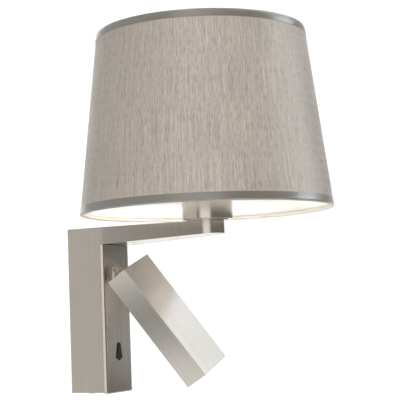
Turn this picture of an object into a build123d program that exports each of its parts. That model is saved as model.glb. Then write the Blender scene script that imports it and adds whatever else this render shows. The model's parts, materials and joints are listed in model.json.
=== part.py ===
"""Wall light with a tapered fabric shade on a short arm and a small swivelling reading head.

Frame: millimetres, +Z up. The wall is the plane y = 0 and the light stands out along -Y.
The origin is the centre of the wall plate, on the wall plane.
"""
import os

from build123d import *

# ---------------------------------------------------------------- back box and its cover
BOX_W = 50.0          # width of the back box
BOX_H = 166.0         # height of the back box
BOX_D = 38.6          # wall to the front edge of the box's sides
SHELL_T = 2.0         # sheet of the box and the arm
COVER_T = 1.4         # sheet of the front cover
COVER_RIM = 1.6       # depth of the cover's rim behind its sheet
COVER_GAP = 0.2       # shadow line between the box's sides and the cover's rim
COVER_LIP = 1.3       # how far the cover reaches below the box
COVER_CORNER_R = 2.5  # lower corners of the cover
COVER_EDGE_R = 1.2    # soft bend along the cover's upright edges
RETURN_D = 9.0        # depth of the cover's folded side returns

# ---------------------------------------------------------------- arm
ARM_REACH = 149.0     # wall to the lampholder's axis
ARM_ROOT_H = 17.4     # height of the arm where it leaves the box
ARM_TIP_H = 13.4      # height of the arm at the lampholder's axis
ARM_TIP_R = 16.5      # round end of the arm
ARM_BEND_R = 200.0    # soft bend where the sides start to draw in
ARM_TOP_T = 3.0       # top wall of the arm
CLOSER_T = 1.5        # closing plate under the arm
CLOSER_INSET = 0.1    # how far the closing plate sits inside the lower edge
BOSS_R = 3.5          # screw bosses under the arm's top wall
BOSS_FROM_TIP = 34.0  # first boss, from the lampholder's axis
BOSS_PITCH = 50.0     # distance between the two bosses
CLOSER_SCREW_L = 5.0
CLOSER_SCREW_IN = 0.1 # how far its screws sit inside the closing plate

# ---------------------------------------------------------------- wall plate
PLATE_T = 2.0
PLATE_GAP = 0.4       # all round, inside the box
WALL_HOLE_PITCH = 120.0
WALL_HOLE_R = 2.6
ENTRY_R = 7.0         # grommet hole in the wall plate
ENTRY_BORE_R = 4.0    # bore of the grommet, for the supply cable
ENTRY_Z = 12.0
TAB_D = 12.0          # lower tab of the plate, which takes the locking screw
GROMMET_LIP = 2.0     # how far the grommet's lip reaches past its hole
GROMMET_LIP_T = 1.6
EARTH_FROM_SIDE = 8.0 # earth screw, from the plate's upright edge
LUG_T = 1.0
LUG_W = 4.0
LUG_L = 10.0          # from the earth screw to the lug's end
LUG_MARGIN = 0.5      # lug's ring beyond the screw head

# ---------------------------------------------------------------- lampholder and cup
CUP_R = 25.0
CUP_H = 56.0
CUP_T = 1.5
SPACER_R = 21.0       # spacer between arm and cup
SPACER_T = 1.2
NIPPLE_R = 5.0        # hollow threaded tube M10 x 1
NIPPLE_BORE_R = 3.9
HOLDER_R = 19.6
HOLDER_H = 66.0
HOLDER_BASE_H = 26.0  # solid base of the lampholder
HOLDER_BORE_R = 14.3
SLEEVE_T = 0.4
RING_NUT_R = 26.0
RING_NUT_H = 4.0
RING_NUT_LIFT = 1.0   # lower ring nut, above the cup
GRIP_NOTCHES = 12
GRIP_R = 1.2
GRIP_OUT = 0.4        # centres of the notches, outside the nut
NIPPLE_BELOW = 3.6    # threaded tube below the arm's top wall
NIPPLE_ABOVE = 5.0    # threaded tube above the cup's floor
NIPPLE_NUT_R = 7.0
NIPPLE_NUT_T = 3.0
CUP_EDGE = 0.6        # chamfer round the cup's foot
SKIRT_STEP = 0.8      # the threaded skirt is thinner than the body by this
SKIRT_LIFT = 0.5      # start of the skirt, above the cup
SKIRT_PITCH = 2.0
SKIRT_RIDGE_W = 0.8
SKIRT_RIDGE_H = 0.5
SLEEVE_LIFT = 6.0     # threaded sleeve, above the lampholder's base
INSERT_GAP = 1.3
INSERT_T = 3.0
CONTACT_W, CONTACT_L = 4.0, 10.0
CONTACT_TOP = 4.6

# ---------------------------------------------------------------- bulb
BULB_R = 30.0
BULB_CAP_R = 13.2
BULB_CAP_H = 26.0
BULB_NECK_R = 13.6
BULB_NECK_H = 10.0    # straight neck above the cap
BULB_H = 108.0
BULB_SEAT = 5.0       # lower contact, above the lampholder's base
CAP_THREAD = 0.6      # depth of the cap's thread
CAP_FOOT = 5.0        # start of the straight part, above the lower contact
CAP_TURNS = 6
CAP_PITCH = 3.0
CAP_RIDGE_W = 1.5
CAP_CONE_Z = 3.0
CAP_CONE_H = 4.2
CAP_CONTACT_R = 4.5
CAP_CONTACT_T = 1.5

# ---------------------------------------------------------------- shade
SHADE_BOTTOM_R = 125.0
SHADE_TOP_R = 104.0
SHADE_Z = 91.7        # bottom edge of the shade
SHADE_H = 179.3
SKIN_T = 0.7
LINING_T = 0.5
TRIM_T = 0.4
TRIM_OUT_H = 8.0      # trim on the outside
TRIM_IN_H = 5.5       # trim folded to the inside
WIRE_R = 1.5          # shade frame wire
SPIDER_ARMS = 3
SPIDER_RING_R = 24.0
SPIDER_RING_T = 2.0
SPIDER_WIRE_R = 0.95
WIRE_PLAY = 0.1       # free space round the frame wire inside the tape

# ---------------------------------------------------------------- reading head and its joint
HEAD_W = 50.0
HEAD_T = 26.0
HEAD_L = 132.0
HEAD_WALL = 1.6
HEAD_EDGE_R = 0.5
CAP_T = 2.0           # end caps of the head
PIVOT_IN = 7.0        # tilt pin, from the head's back face
PIVOT_DOWN = 6.0      # tilt pin, from the head's top end
PIVOT_OUT = 13.0      # tilt pin, in front of the cover
PIVOT_Z = 33.2
HEAD_SWIVEL = -19.4   # modelled swivel about Y, degrees from hanging straight
HEAD_TILT = -30.4     # modelled tilt about the pin, degrees from lying against the cover
SOCKET_W = 18.0       # square socket that shows through the cover
SOCKET_D = 14.0
SOCKET_PROUD = 1.2
SOCKET_FLANGE = 3.0
POST_R = 5.0
SHOULDER_R = 8.0
SHOULDER_T = 1.2
TONGUE_W = 8.0
TONGUE_R = 5.6
PIN_R = 1.5
WASHER_T = 0.4
RUNNING_GAP = 0.05    # radial gap of the turning fits
SIDE_GAP = 0.6        # free space beside moving pieces
HINGE_BLOCK_W = 30.0
HINGE_BLOCK_L = 16.0
SOCKET_EDGE = 0.4
SOCKET_FLANGE_T = 2.0
SPRING_GAP = 0.2
SPRING_T = 1.0
SPRING_STEP = 1.0     # second spring washer is smaller by this
NUT_SEAT = 2.3        # lock nut, behind the socket
SWIVEL_NUT_R = 8.0
SWIVEL_NUT_T = 4.0
POST_TAIL = 8.0       # threaded end of the post behind the socket
PIN_IN = 1.0          # ends of the tilt pin, inside the hinge block
TILT_WASHER_STEP = 0.6
PLAY = 0.1            # free space round pieces that are pushed into place

# ---------------------------------------------------------------- light engine of the head
LENS_W = 34.0
LENS_L = 62.0
LENS_T = 2.0
LENS_FROM_END = 14.0  # from the head's lower end to the lens
BEZEL_W = 2.0
BOARD_T = 1.6
CHIP = 3.5
CHIP_T = 0.8
CHIP_ROWS = 4
CHIP_COLUMNS = 2
SINK_T = 3.0
FIN_H = 6.0
FIN_T = 1.4
FIN_COUNT = 6
BEZEL_IN = 0.4        # bezel, inside the head's back face
LENS_IN = 1.0         # lens, inside the head's back face
LENS_TO_BOARD = 4.0
SINK_GAP = 0.3
SINK_OVER = 4.0       # sink beyond the board at both ends

# ---------------------------------------------------------------- switch
KEY_Z = -42.0         # centre of the switch key
KEY_H = 16.0
KEY_WIDE = 9.6
KEY_TOP_R = 2.0
KEY_NUB_R = 1.8
KEY_T = 3.2
KEY_PROUD = 1.4
KEY_GAP = 0.35
KEY_BARREL_R = 1.5
KEY_PIN_R = 0.75
SWITCH_D = 13.0
KEY_EDGE_R = 0.5
SWITCH_SIDE = 2.5     # body beyond the key at its sides
SWITCH_END = 4.5      # body beyond the key at its ends
SWITCH_WALL = 2.0
SWITCH_PIN_IN = 3.0   # reach of the body's pins into the key's barrels
BLADE_W, BLADE_L, BLADE_T = 4.8, 6.0, 0.8
BLADE_PITCH = 10.0

# ---------------------------------------------------------------- electrics in the box
DRIVER_W, DRIVER_D, DRIVER_H = 30.0, 14.0, 50.0
BLOCK_W, BLOCK_D, BLOCK_H = 24.0, 12.0, 9.0
BLOCK_POLES = 3
STANDOFF = 1.0        # foam pad under driver and terminal block
LEAD_R = 1.1
LEAD_BEND = 3.0
LEAD_GAP = 0.6        # round the leads in the terminal block and over the closing plate
LEAD_IN = 2.0         # end of the leads inside the terminal block
LEAD_STRAIGHT = 14.0  # sloping ends of the leads' run along the arm
LEAD_PITCH = 3.2      # distance between the leads in the threaded tube
LEAD_FROM_BOSS = 1.5
MOUTH_DEPTH = 3.0
MOUTH_PLACE = 0.4     # depth of the wire mouths, share of the block
TERMINAL_SCREW_R = 1.8
DRIVER_EDGE_R = 1.5
DRIVER_DROP = 4.0     # driver, below the cable entry
BLOCK_DROP = 1.0      # terminal block, below the arm's channel
PAD_LOW, PAD_HIGH = 12.0, 2.0   # free ends of the driver's pad

# ---------------------------------------------------------------- small screws
M3_R = 1.5
M3_CORE_R = 1.25
M3_HEAD_R = 2.8
M3_HEAD_T = 1.6
M4_R = 2.0
M4_CORE_R = 1.65
M4_HEAD_R = 3.8
M4_HEAD_T = 2.4
SLOT_HALF = 0.4       # half width of a driver slot
PLATE_LOCK_L = 8.0
COVER_LOCK_L = 6.0
SCREW_GAP = 0.2       # radial gap of a screw in its clearance hole
CUT = 1.0             # how far cutting tools reach past a face

# ---------------------------------------------------------------- places that follow from them
TOP_Z = BOX_H / 2
BOTTOM_Z = -BOX_H / 2
RIM_BACK = -(BOX_D + COVER_GAP)
COVER_BACK = RIM_BACK - COVER_RIM
COVER_FRONT = COVER_BACK - COVER_T
ARM_UNDER_Z = TOP_Z - ARM_ROOT_H
ARM_END = ARM_REACH + ARM_TIP_R
HOLDER_Y = -ARM_REACH
CUP_Z = TOP_Z + SPACER_T
HOLDER_Z = CUP_Z + 2 * CUP_T
HOLDER_TOP = HOLDER_Z + HOLDER_H
CUP_TOP = CUP_Z + CUP_H
PIVOT_Y = COVER_FRONT - PIVOT_OUT
SOCKET_FRONT = COVER_FRONT - SOCKET_PROUD
PLATE_FRONT = -PLATE_T


def block(x0, x1, y0, y1, z0, z1):
    """Box between two corners."""
    size = Box(abs(x1 - x0), abs(y1 - y0), abs(z1 - z0))
    return Pos((x0 + x1) / 2, (y0 + y1) / 2, (z0 + z1) / 2) * size


def upright(radius, z0, z1, x=0.0, y=0.0):
    """Cylinder along Z."""
    return Pos(x, y, (z0 + z1) / 2) * Cylinder(radius, abs(z1 - z0))


def outward(radius, y0, y1, x=0.0, z=0.0):
    """Cylinder along Y."""
    return Pos(x, (y0 + y1) / 2, z) * Rot(90, 0, 0) * Cylinder(radius, abs(y1 - y0))


def crosswise(radius, x0, x1, y=0.0, z=0.0):
    """Cylinder along X."""
    return Pos((x0 + x1) / 2, y, z) * Rot(0, 90, 0) * Cylinder(radius, abs(x1 - x0))


def turned(points, x=0.0, y=0.0):
    """Solid of revolution about a vertical axis, from (radius, z) points."""
    outline = Plane.XZ * make_face(Polyline(*points, close=True))
    return Pos(x, y, 0) * revolve(outline, Axis.Z)


def underside_z(y, inset=0.0):
    """Height of the arm's lower edge at y, moved up into the arm by inset."""
    slope = (ARM_ROOT_H - ARM_TIP_H) / (ARM_REACH - BOX_D)
    return ARM_UNDER_Z + slope * (-y - BOX_D) + inset


def plan_outline(inset):
    """Plan of box and arm together: the box's footprint drawn in to the round tip."""
    half = BOX_W / 2 - inset
    footprint = Pos(0, -BOX_D / 2) * Rectangle(2 * half, BOX_D)
    tip = Pos(0, HOLDER_Y) * Circle(ARM_TIP_R - inset)
    outline = make_hull(footprint.edges() + tip.edges())
    root = [v for v in outline.vertices() if abs(abs(v.X) - half) < 0.01 and v.Y < -BOX_D / 2]
    return fillet(root, ARM_BEND_R)


def prism_x(points, half_width):
    """Solid from (y, z) points, as wide as twice half_width."""
    outline = Plane.YZ * make_face(Polyline(*points, close=True))
    return extrude(outline, half_width, both=True)


def arm_bosses():
    """Places of the closing plate's screws along the arm."""
    first = HOLDER_Y + BOSS_FROM_TIP
    return [first, first + BOSS_PITCH]


def body_shell():
    """Back box and arm, folded and welded from one sheet, open at back, front and below."""
    profile = [
        (0, BOTTOM_Z), (0, TOP_Z), (-ARM_END - CUT, TOP_Z),
        (-ARM_END - CUT, underside_z(-ARM_END - CUT)),
        (-BOX_D, ARM_UNDER_Z), (-BOX_D, BOTTOM_Z),
    ]
    outer = extrude(Pos(0, 0, BOTTOM_Z) * plan_outline(0), BOX_H) & prism_x(profile, BOX_W)
    inside_half = BOX_W / 2 - SHELL_T
    room = block(-inside_half, inside_half, CUT, -BOX_D - CUT, BOTTOM_Z + SHELL_T, TOP_Z - SHELL_T)
    below_arm = block(-BOX_W, BOX_W, -BOX_D, -ARM_END, BOTTOM_Z, ARM_UNDER_Z)
    channel_height = ARM_ROOT_H - ARM_TOP_T + CUT
    channel = Pos(0, 0, TOP_Z - ARM_TOP_T - channel_height) * plan_outline(SHELL_T)
    channel = extrude(channel, channel_height) & block(
        -BOX_W, BOX_W, -BOX_D + CUT, -ARM_END, BOTTOM_Z, TOP_Z
    )
    room -= block(-BOX_W, BOX_W, -BOX_D, -ARM_END, ARM_UNDER_Z, TOP_Z)
    shell = outer - room - below_arm - channel
    for y in arm_bosses():
        top = TOP_Z - ARM_TOP_T
        foot = underside_z(y - BOSS_R, CLOSER_INSET + CLOSER_T + COVER_GAP)
        shell += upright(BOSS_R, foot, top + CUT / 2, 0, y)
        shell -= upright(M3_CORE_R, foot - CUT, top, 0, y)
    shell -= upright(NIPPLE_R + SCREW_GAP, TOP_Z - ARM_ROOT_H, TOP_Z + CUT, 0, HOLDER_Y)
    for y, radius in bottom_screws():
        shell -= upright(radius + SCREW_GAP, BOTTOM_Z - CUT, BOTTOM_Z + SHELL_T + CUT, 0, y)
    return shell


def bottom_screws():
    """(y, radius) of the two screws through the box's bottom: plate lock and cover lock."""
    return [(-TAB_D / 2 - PLATE_T, M4_R), (COVER_BACK + RETURN_D, M3_R)]


def front_cover():
    """Front cover: a shallow tray with side returns, a lower return and two windows."""
    half = BOX_W / 2
    low = BOTTOM_Z - COVER_LIP
    high = ARM_UNDER_Z - COVER_GAP
    sheet = block(-half, half, RIM_BACK, COVER_FRONT, low, high)
    corners = sheet.edges().filter_by(Axis.Y).group_by(Axis.Z)[0]
    sheet = fillet(corners, COVER_CORNER_R)
    upright_edges = sheet.edges().filter_by(Axis.Z).group_by(Axis.Y)[0]
    sheet = fillet(upright_edges, COVER_EDGE_R)
    hollow = half - COVER_T
    sheet -= block(
        -hollow, hollow, RIM_BACK + CUT, COVER_BACK, low + COVER_LIP + COVER_T, high - COVER_T
    )
    inside = half - SHELL_T - PLATE_GAP
    floor = BOTTOM_Z + SHELL_T + COVER_GAP
    back = COVER_BACK + RETURN_D
    for side in (-1, 1):
        sheet += block(
            side * inside, side * (inside - COVER_T), COVER_BACK - COVER_T / 2, back,
            floor + 2 * COVER_T, high - COVER_T,
        )
    lock_y, lock_r = bottom_screws()[1]
    sheet += block(
        -half / 3, half / 3, COVER_BACK - COVER_T / 2, lock_y + 3 * lock_r, floor, floor + 2 * COVER_T
    )
    sheet -= upright(M3_CORE_R, floor - CUT, floor + 3 * COVER_T, 0, lock_y)
    window = SOCKET_W / 2 + KEY_GAP
    sheet -= block(-window, window, COVER_BACK + CUT, COVER_FRONT - CUT, PIVOT_Z - window, PIVOT_Z + window)
    sheet -= key_solid(KEY_GAP, COVER_BACK + CUT, COVER_FRONT - CUT)
    return sheet


def key_outline(grow):
    """Outline of the switch key: narrow round top, wide foot and a small nub below it."""
    foot = KEY_WIDE / 2 - KEY_TOP_R / 2
    low = -KEY_H / 2 + KEY_TOP_R / 2
    top = Pos(0, KEY_H / 2 - KEY_TOP_R) * Circle(KEY_TOP_R + grow)
    left = Pos(-foot, low) * Circle(KEY_TOP_R / 2 + grow)
    right = Pos(foot, low) * Circle(KEY_TOP_R / 2 + grow)
    nub = Pos(0, -KEY_H / 2) * Circle(KEY_NUB_R + grow)
    return make_hull(top.edges() + left.edges() + right.edges()) + nub


def key_solid(grow, y_back, y_front):
    """The key's outline as a solid between two depths."""
    outline = Plane.XZ * key_outline(grow)
    return Pos(0, y_back, KEY_Z) * extrude(outline, y_back - y_front)


def switch_key():
    """Rocking key of the reading light's switch, with its pivot barrels at the back."""
    front = COVER_FRONT - KEY_PROUD
    key = key_solid(0, front + KEY_T, front)
    key = fillet(key.edges().group_by(Axis.Y)[0], KEY_EDGE_R)
    pivot_y = key_pivot_y()
    barrel = KEY_WIDE / 2 - 1
    key += block(-KEY_TOP_R, KEY_TOP_R, front + KEY_T - CUT, pivot_y, KEY_Z - KEY_BARREL_R, KEY_Z + KEY_BARREL_R)
    key += crosswise(KEY_BARREL_R, -barrel, barrel, pivot_y, KEY_Z)
    return key - crosswise(KEY_PIN_R + RUNNING_GAP, -KEY_WIDE, KEY_WIDE, pivot_y, KEY_Z)


def key_pivot_y():
    """Depth of the key's pivot."""
    return COVER_FRONT - KEY_PROUD + KEY_T + KEY_BARREL_R


def switch_body():
    """Moulded body of the switch, held behind the cover, open in front for the key."""
    half = KEY_WIDE / 2 + SWITCH_SIDE
    tall = KEY_H / 2 + SWITCH_END
    front = COVER_BACK + COVER_GAP
    body = block(-half, half, front, front + SWITCH_D, KEY_Z - tall, KEY_Z + tall)
    well = key_pivot_y() + KEY_BARREL_R + SIDE_GAP
    body -= block(
        -KEY_WIDE / 2 - SIDE_GAP, KEY_WIDE / 2 + SIDE_GAP, front - CUT, well,
        KEY_Z - tall + SWITCH_WALL, KEY_Z + tall - SWITCH_WALL,
    )
    for side in (-1, 1):
        body += crosswise(
            KEY_PIN_R, side * (KEY_WIDE / 2 - SWITCH_PIN_IN), side * (KEY_WIDE / 2 + CUT), key_pivot_y(), KEY_Z
        )
    return body


def switch_terminals():
    """Two blade terminals at the back of the switch."""
    back = COVER_BACK + COVER_GAP + SWITCH_D
    blades = []
    for z in (KEY_Z - BLADE_PITCH / 2, KEY_Z + BLADE_PITCH / 2):
        blades.append(block(-BLADE_W / 2, BLADE_W / 2, back, back + BLADE_L, z, z + BLADE_T))
    return Compound(children=blades)


def wall_plate():
    """Steel plate on the wall: two fixing holes, the cable entry and a tab for the lock screw."""
    half = BOX_W / 2 - SHELL_T - PLATE_GAP
    tall = BOX_H / 2 - SHELL_T - PLATE_GAP
    plate = block(-half, half, 0, PLATE_FRONT, -tall, tall)
    plate = fillet(plate.edges().filter_by(Axis.Y), COVER_CORNER_R)
    plate += block(-half / 2, half / 2, PLATE_FRONT / 2, PLATE_FRONT - TAB_D, -tall, -tall + PLATE_T)
    for z in (-WALL_HOLE_PITCH / 2, WALL_HOLE_PITCH / 2):
        plate -= outward(WALL_HOLE_R, CUT, PLATE_FRONT - CUT, 0, z)
    plate -= outward(ENTRY_R, CUT, PLATE_FRONT - CUT, 0, ENTRY_Z)
    lock_y = bottom_screws()[0][0]
    plate -= upright(M4_CORE_R, -tall - CUT, -tall + 2 * PLATE_T, 0, lock_y)
    return plate - outward(M4_CORE_R, CUT, PLATE_FRONT - CUT, half - EARTH_FROM_SIDE, WALL_HOLE_PITCH / 2)


def entry_grommet():
    """Rubber grommet in the wall plate, for the supply cable."""
    back, waist, lip = PLAY, ENTRY_R - PLAY, ENTRY_R + GROMMET_LIP
    front = PLATE_T + GROMMET_LIP_T
    points = [
        (ENTRY_BORE_R, back), (waist, back), (waist, PLATE_T),
        (lip, PLATE_T), (lip, front), (ENTRY_BORE_R, front),
    ]
    return Pos(0, 0, ENTRY_Z) * Rot(90, 0, 0) * turned(points)


def pan_screw(radius, head_r, head_t, length):
    """Pan head screw along Z, head seat at z = 0 and shank upward, with a cross recess."""
    screw = upright(radius, -SCREW_GAP, length) + upright(head_r, -head_t, 0)
    screw = fillet(screw.edges().group_by(Axis.Z)[0], head_t / 3)
    for angle in (0, 90):
        slot = Rot(0, 0, angle) * block(
            -head_r * 0.6, head_r * 0.6, -SLOT_HALF, SLOT_HALF, -head_t - CUT, -head_t / 2
        )
        screw -= slot
    return screw


def lock_screw():
    """Screw through the box's bottom into the wall plate's tab."""
    y = bottom_screws()[0][0]
    return Pos(0, y, BOTTOM_Z) * pan_screw(M4_CORE_R, M4_HEAD_R, M4_HEAD_T, PLATE_LOCK_L)


def cover_screw():
    """Screw through the box's bottom into the cover's lower return."""
    y = bottom_screws()[1][0]
    return Pos(0, y, BOTTOM_Z) * pan_screw(M3_CORE_R, M3_HEAD_R, M3_HEAD_T, COVER_LOCK_L)


def earth_screw():
    """Earth screw in the wall plate."""
    half = BOX_W / 2 - SHELL_T - PLATE_GAP
    seat = Pos(half - EARTH_FROM_SIDE, PLATE_FRONT - LUG_T, WALL_HOLE_PITCH / 2)
    return seat * Rot(-90, 0, 0) * pan_screw(M4_CORE_R, M4_HEAD_R, M4_HEAD_T, PLATE_T)


def earth_lug():
    """Flat washer with a tab under the earth screw."""
    x = BOX_W / 2 - SHELL_T - PLATE_GAP - EARTH_FROM_SIDE
    front = PLATE_FRONT - LUG_T
    z = WALL_HOLE_PITCH / 2
    lug = outward(M4_HEAD_R + LUG_MARGIN, PLATE_FRONT, front, x, z)
    lug += block(x - LUG_W / 2, x + LUG_W / 2, PLATE_FRONT, front, z - LUG_L, z)
    return lug - outward(M4_CORE_R, CUT, front - CUT, x, z)


def closing_plate():
    """Plate that closes the arm from below, just inside its lower edge."""
    start = -BOX_D + COVER_GAP
    lower = CLOSER_INSET
    upper = CLOSER_INSET + CLOSER_T
    strip = prism_x(
        [(start, underside_z(start, lower)), (-ARM_END, underside_z(-ARM_END, lower)),
         (-ARM_END, underside_z(-ARM_END, upper)), (start, underside_z(start, upper))],
        BOX_W,
    )
    plan = extrude(Pos(0, 0, BOTTOM_Z) * plan_outline(SHELL_T + COVER_GAP), BOX_H)
    plate = strip & plan
    for y in arm_bosses():
        z = underside_z(y, 0)
        plate -= upright(M3_R + SCREW_GAP, z - CUT, z + 4 * CLOSER_T, 0, y)
        plate -= upright(M3_HEAD_R + SCREW_GAP, z - CUT, z + CLOSER_INSET + CLOSER_T / 2, 0, y)
    return plate


def closer_screws():
    """Two flat screws that hold the closing plate to the bosses."""
    screws = []
    for y in arm_bosses():
        z = underside_z(y, CLOSER_INSET)
        low, slot = z + CLOSER_SCREW_IN, z + SLOT_HALF
        head = upright(M3_HEAD_R, low, z + CLOSER_T / 2, 0, y)
        head -= block(-M3_HEAD_R, M3_HEAD_R, y - SLOT_HALF, y + SLOT_HALF, z - CUT, slot)
        screws.append(head + upright(M3_CORE_R, slot, z + CLOSER_SCREW_L, 0, y))
    return Compound(children=screws)


def nipple():
    """Hollow threaded tube that ties cup and lampholder to the arm."""
    foot = TOP_Z - ARM_TOP_T - NIPPLE_BELOW
    top = HOLDER_Z + NIPPLE_ABOVE
    tube = upright(NIPPLE_R, foot, top, 0, HOLDER_Y)
    return tube - upright(NIPPLE_BORE_R, foot - CUT, top + CUT, 0, HOLDER_Y)


def nipple_nut():
    """Hexagon nut under the arm's top wall."""
    top = TOP_Z - ARM_TOP_T
    nut = extrude(RegularPolygon(NIPPLE_NUT_R, 6, major_radius=False), NIPPLE_NUT_T)
    nut = Pos(0, HOLDER_Y, top - NIPPLE_NUT_T) * nut
    return nut - upright(NIPPLE_R, top - NIPPLE_NUT_T - CUT, top + CUT, 0, HOLDER_Y)


def cup_spacer():
    """Spacer between the arm and the cup."""
    ring = upright(SPACER_R, TOP_Z, CUP_Z, 0, HOLDER_Y)
    return ring - upright(NIPPLE_R + SCREW_GAP, TOP_Z - CUT, CUP_Z + CUT, 0, HOLDER_Y)


def holder_cup():
    """Turned metal cup around the lampholder, open at the top."""
    points = [
        (NIPPLE_R + SCREW_GAP, CUP_Z), (CUP_R - CUP_EDGE, CUP_Z), (CUP_R, CUP_Z + CUP_EDGE),
        (CUP_R, CUP_TOP), (CUP_R - CUP_T, CUP_TOP), (CUP_R - CUP_T, CUP_Z + 2 * CUP_T),
        (NIPPLE_R + SCREW_GAP, CUP_Z + 2 * CUP_T),
    ]
    return turned(points, 0, HOLDER_Y)


def lampholder():
    """Moulded E27 lampholder with a threaded skirt."""
    skirt_r = HOLDER_R - SKIRT_STEP
    skirt_z = CUP_TOP + SKIRT_LIFT
    body = upright(HOLDER_R, HOLDER_Z, skirt_z, 0, HOLDER_Y)
    body += upright(skirt_r, HOLDER_Z, HOLDER_TOP, 0, HOLDER_Y)
    threads = int((HOLDER_TOP - skirt_z) / SKIRT_PITCH)
    for turn in range(threads):
        z = skirt_z + SKIRT_PITCH / 2 + SKIRT_PITCH * turn
        body += upright(skirt_r + SKIRT_RIDGE_H, z, z + SKIRT_RIDGE_W, 0, HOLDER_Y)
    body -= upright(HOLDER_BORE_R, HOLDER_Z + HOLDER_BASE_H, HOLDER_TOP + CUT, 0, HOLDER_Y)
    return body - upright(NIPPLE_R, HOLDER_Z - CUT, HOLDER_Z + HOLDER_BASE_H + CUT, 0, HOLDER_Y)


def holder_sleeve():
    """Threaded metal sleeve inside the lampholder."""
    z0 = HOLDER_Z + HOLDER_BASE_H + SLEEVE_LIFT
    z1 = z0 + BULB_CAP_H
    sleeve = upright(HOLDER_BORE_R, z0, z1, 0, HOLDER_Y)
    return sleeve - upright(HOLDER_BORE_R - SLEEVE_T, z0 - CUT, z1 + CUT, 0, HOLDER_Y)


def centre_contact():
    """Ceramic insert with the spring contact at the bottom of the lampholder."""
    z0 = HOLDER_Z + HOLDER_BASE_H
    base = upright(HOLDER_BORE_R - INSERT_GAP, z0, z0 + INSERT_T, 0, HOLDER_Y)
    wide, long = CONTACT_W / 2, CONTACT_L / 2
    return base + block(
        -wide, wide, HOLDER_Y - long, HOLDER_Y + long, z0 + INSERT_T - CUT, z0 + CONTACT_TOP
    )


def bulb_seat():
    """Height of the bulb's lower contact."""
    return HOLDER_Z + HOLDER_BASE_H + BULB_SEAT


def bulb_cap():
    """Threaded metal cap of the bulb, with its contact."""
    z0 = bulb_seat()
    core = BULB_CAP_R - CAP_THREAD
    cap = upright(core, z0 + CAP_FOOT, z0 + BULB_CAP_H, 0, HOLDER_Y)
    for turn in range(CAP_TURNS):
        z = z0 + CAP_FOOT + CUT + CAP_PITCH * turn
        cap += upright(BULB_CAP_R, z, z + CAP_RIDGE_W, 0, HOLDER_Y)
    cone = Pos(0, HOLDER_Y, z0 + CAP_CONE_Z) * Cone(CAP_CONTACT_R, core, CAP_CONE_H)
    return cap + cone + upright(CAP_CONTACT_R, z0, z0 + CAP_CONTACT_T, 0, HOLDER_Y)


def bulb_globe():
    """Opal globe of the bulb."""
    z0 = bulb_seat() + BULB_CAP_H
    top = bulb_seat() + BULB_H
    centre = top - BULB_R
    shoulder = centre - BULB_R * 0.6
    cheek = BULB_R * 0.8
    neck = BULB_NECK_R
    outline = Polyline((cheek, shoulder), (neck, z0 + BULB_NECK_H), (neck, z0), (0, z0), (0, top))
    ball = ThreePointArc((0, top), (BULB_R, centre), (cheek, shoulder))
    face = Plane.XZ * make_face(outline + ball)
    return Pos(0, HOLDER_Y, 0) * revolve(face, Axis.Z)


def ring_nut_at(z):
    """One threaded ring on the lampholder's skirt, with grip notches."""
    nut = upright(RING_NUT_R, z, z + RING_NUT_H, 0, HOLDER_Y)
    nut -= upright(HOLDER_R, z - CUT, z + RING_NUT_H + CUT, 0, HOLDER_Y)
    for place in PolarLocations(RING_NUT_R + GRIP_OUT, GRIP_NOTCHES):
        nut -= Pos(0, HOLDER_Y, z + RING_NUT_H / 2) * place * Cylinder(GRIP_R, RING_NUT_H + CUT)
    return nut


def spider_z():
    """Underside of the shade's fitter ring."""
    return CUP_TOP + RING_NUT_LIFT + RING_NUT_H + COVER_GAP


def ring_nuts():
    """Lower and upper ring nut that clamp the shade's fitter ring."""
    lower = ring_nut_at(CUP_TOP + RING_NUT_LIFT)
    upper = ring_nut_at(spider_z() + SPIDER_RING_T + COVER_GAP)
    return Compound(children=[lower, upper])


def shade_radius(z):
    """Outer radius of the shade's fabric at height z."""
    share = (z - SHADE_Z) / SHADE_H
    return SHADE_BOTTOM_R + (SHADE_TOP_R - SHADE_BOTTOM_R) * share


def cone_wall(z0, z1, out0, out1):
    """Band that follows the shade, between two distances from its outer face."""
    points = [
        (shade_radius(z0) + out1, z0), (shade_radius(z1) + out1, z1),
        (shade_radius(z1) + out0, z1), (shade_radius(z0) + out0, z0),
    ]
    return turned(points, 0, HOLDER_Y)


def shade_skin():
    """Outer fabric."""
    return cone_wall(SHADE_Z + TRIM_T, SHADE_Z + SHADE_H - TRIM_T, -SKIN_T, 0)


def shade_lining():
    """White lining bonded to the fabric."""
    return cone_wall(SHADE_Z + TRIM_T, SHADE_Z + SHADE_H - TRIM_T, -SKIN_T - LINING_T, -SKIN_T)


def shade_trim(edge_z, inward):
    """Fabric tape folded round one edge and its wire; inward is +1 at the bottom edge."""
    wall = SKIN_T + LINING_T + 2 * WIRE_R + 2 * TRIM_T
    lip = sorted((edge_z, edge_z + inward * TRIM_T))
    outside = sorted((edge_z, edge_z + inward * TRIM_OUT_H))
    inside = sorted((edge_z, edge_z + inward * TRIM_IN_H))
    trim = cone_wall(*outside, 0, TRIM_T)
    trim += cone_wall(*inside, -wall, -wall + TRIM_T)
    trim += cone_wall(*lip, -wall, TRIM_T)
    for arm in spider_wires(SPIDER_WIRE_R + SCREW_GAP):
        trim -= arm
    return trim


def wire_place(edge_z, inward):
    """(radius, z) of the frame wire at one edge."""
    z = edge_z + inward * (TRIM_T + WIRE_R)
    return shade_radius(z) - SKIN_T - LINING_T - WIRE_R - TRIM_T / 2, z


def shade_wire(edge_z, inward):
    """Round frame wire at one edge of the shade."""
    radius, z = wire_place(edge_z, inward)
    return Pos(0, HOLDER_Y, z) * Torus(radius, WIRE_R - WIRE_PLAY)


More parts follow.
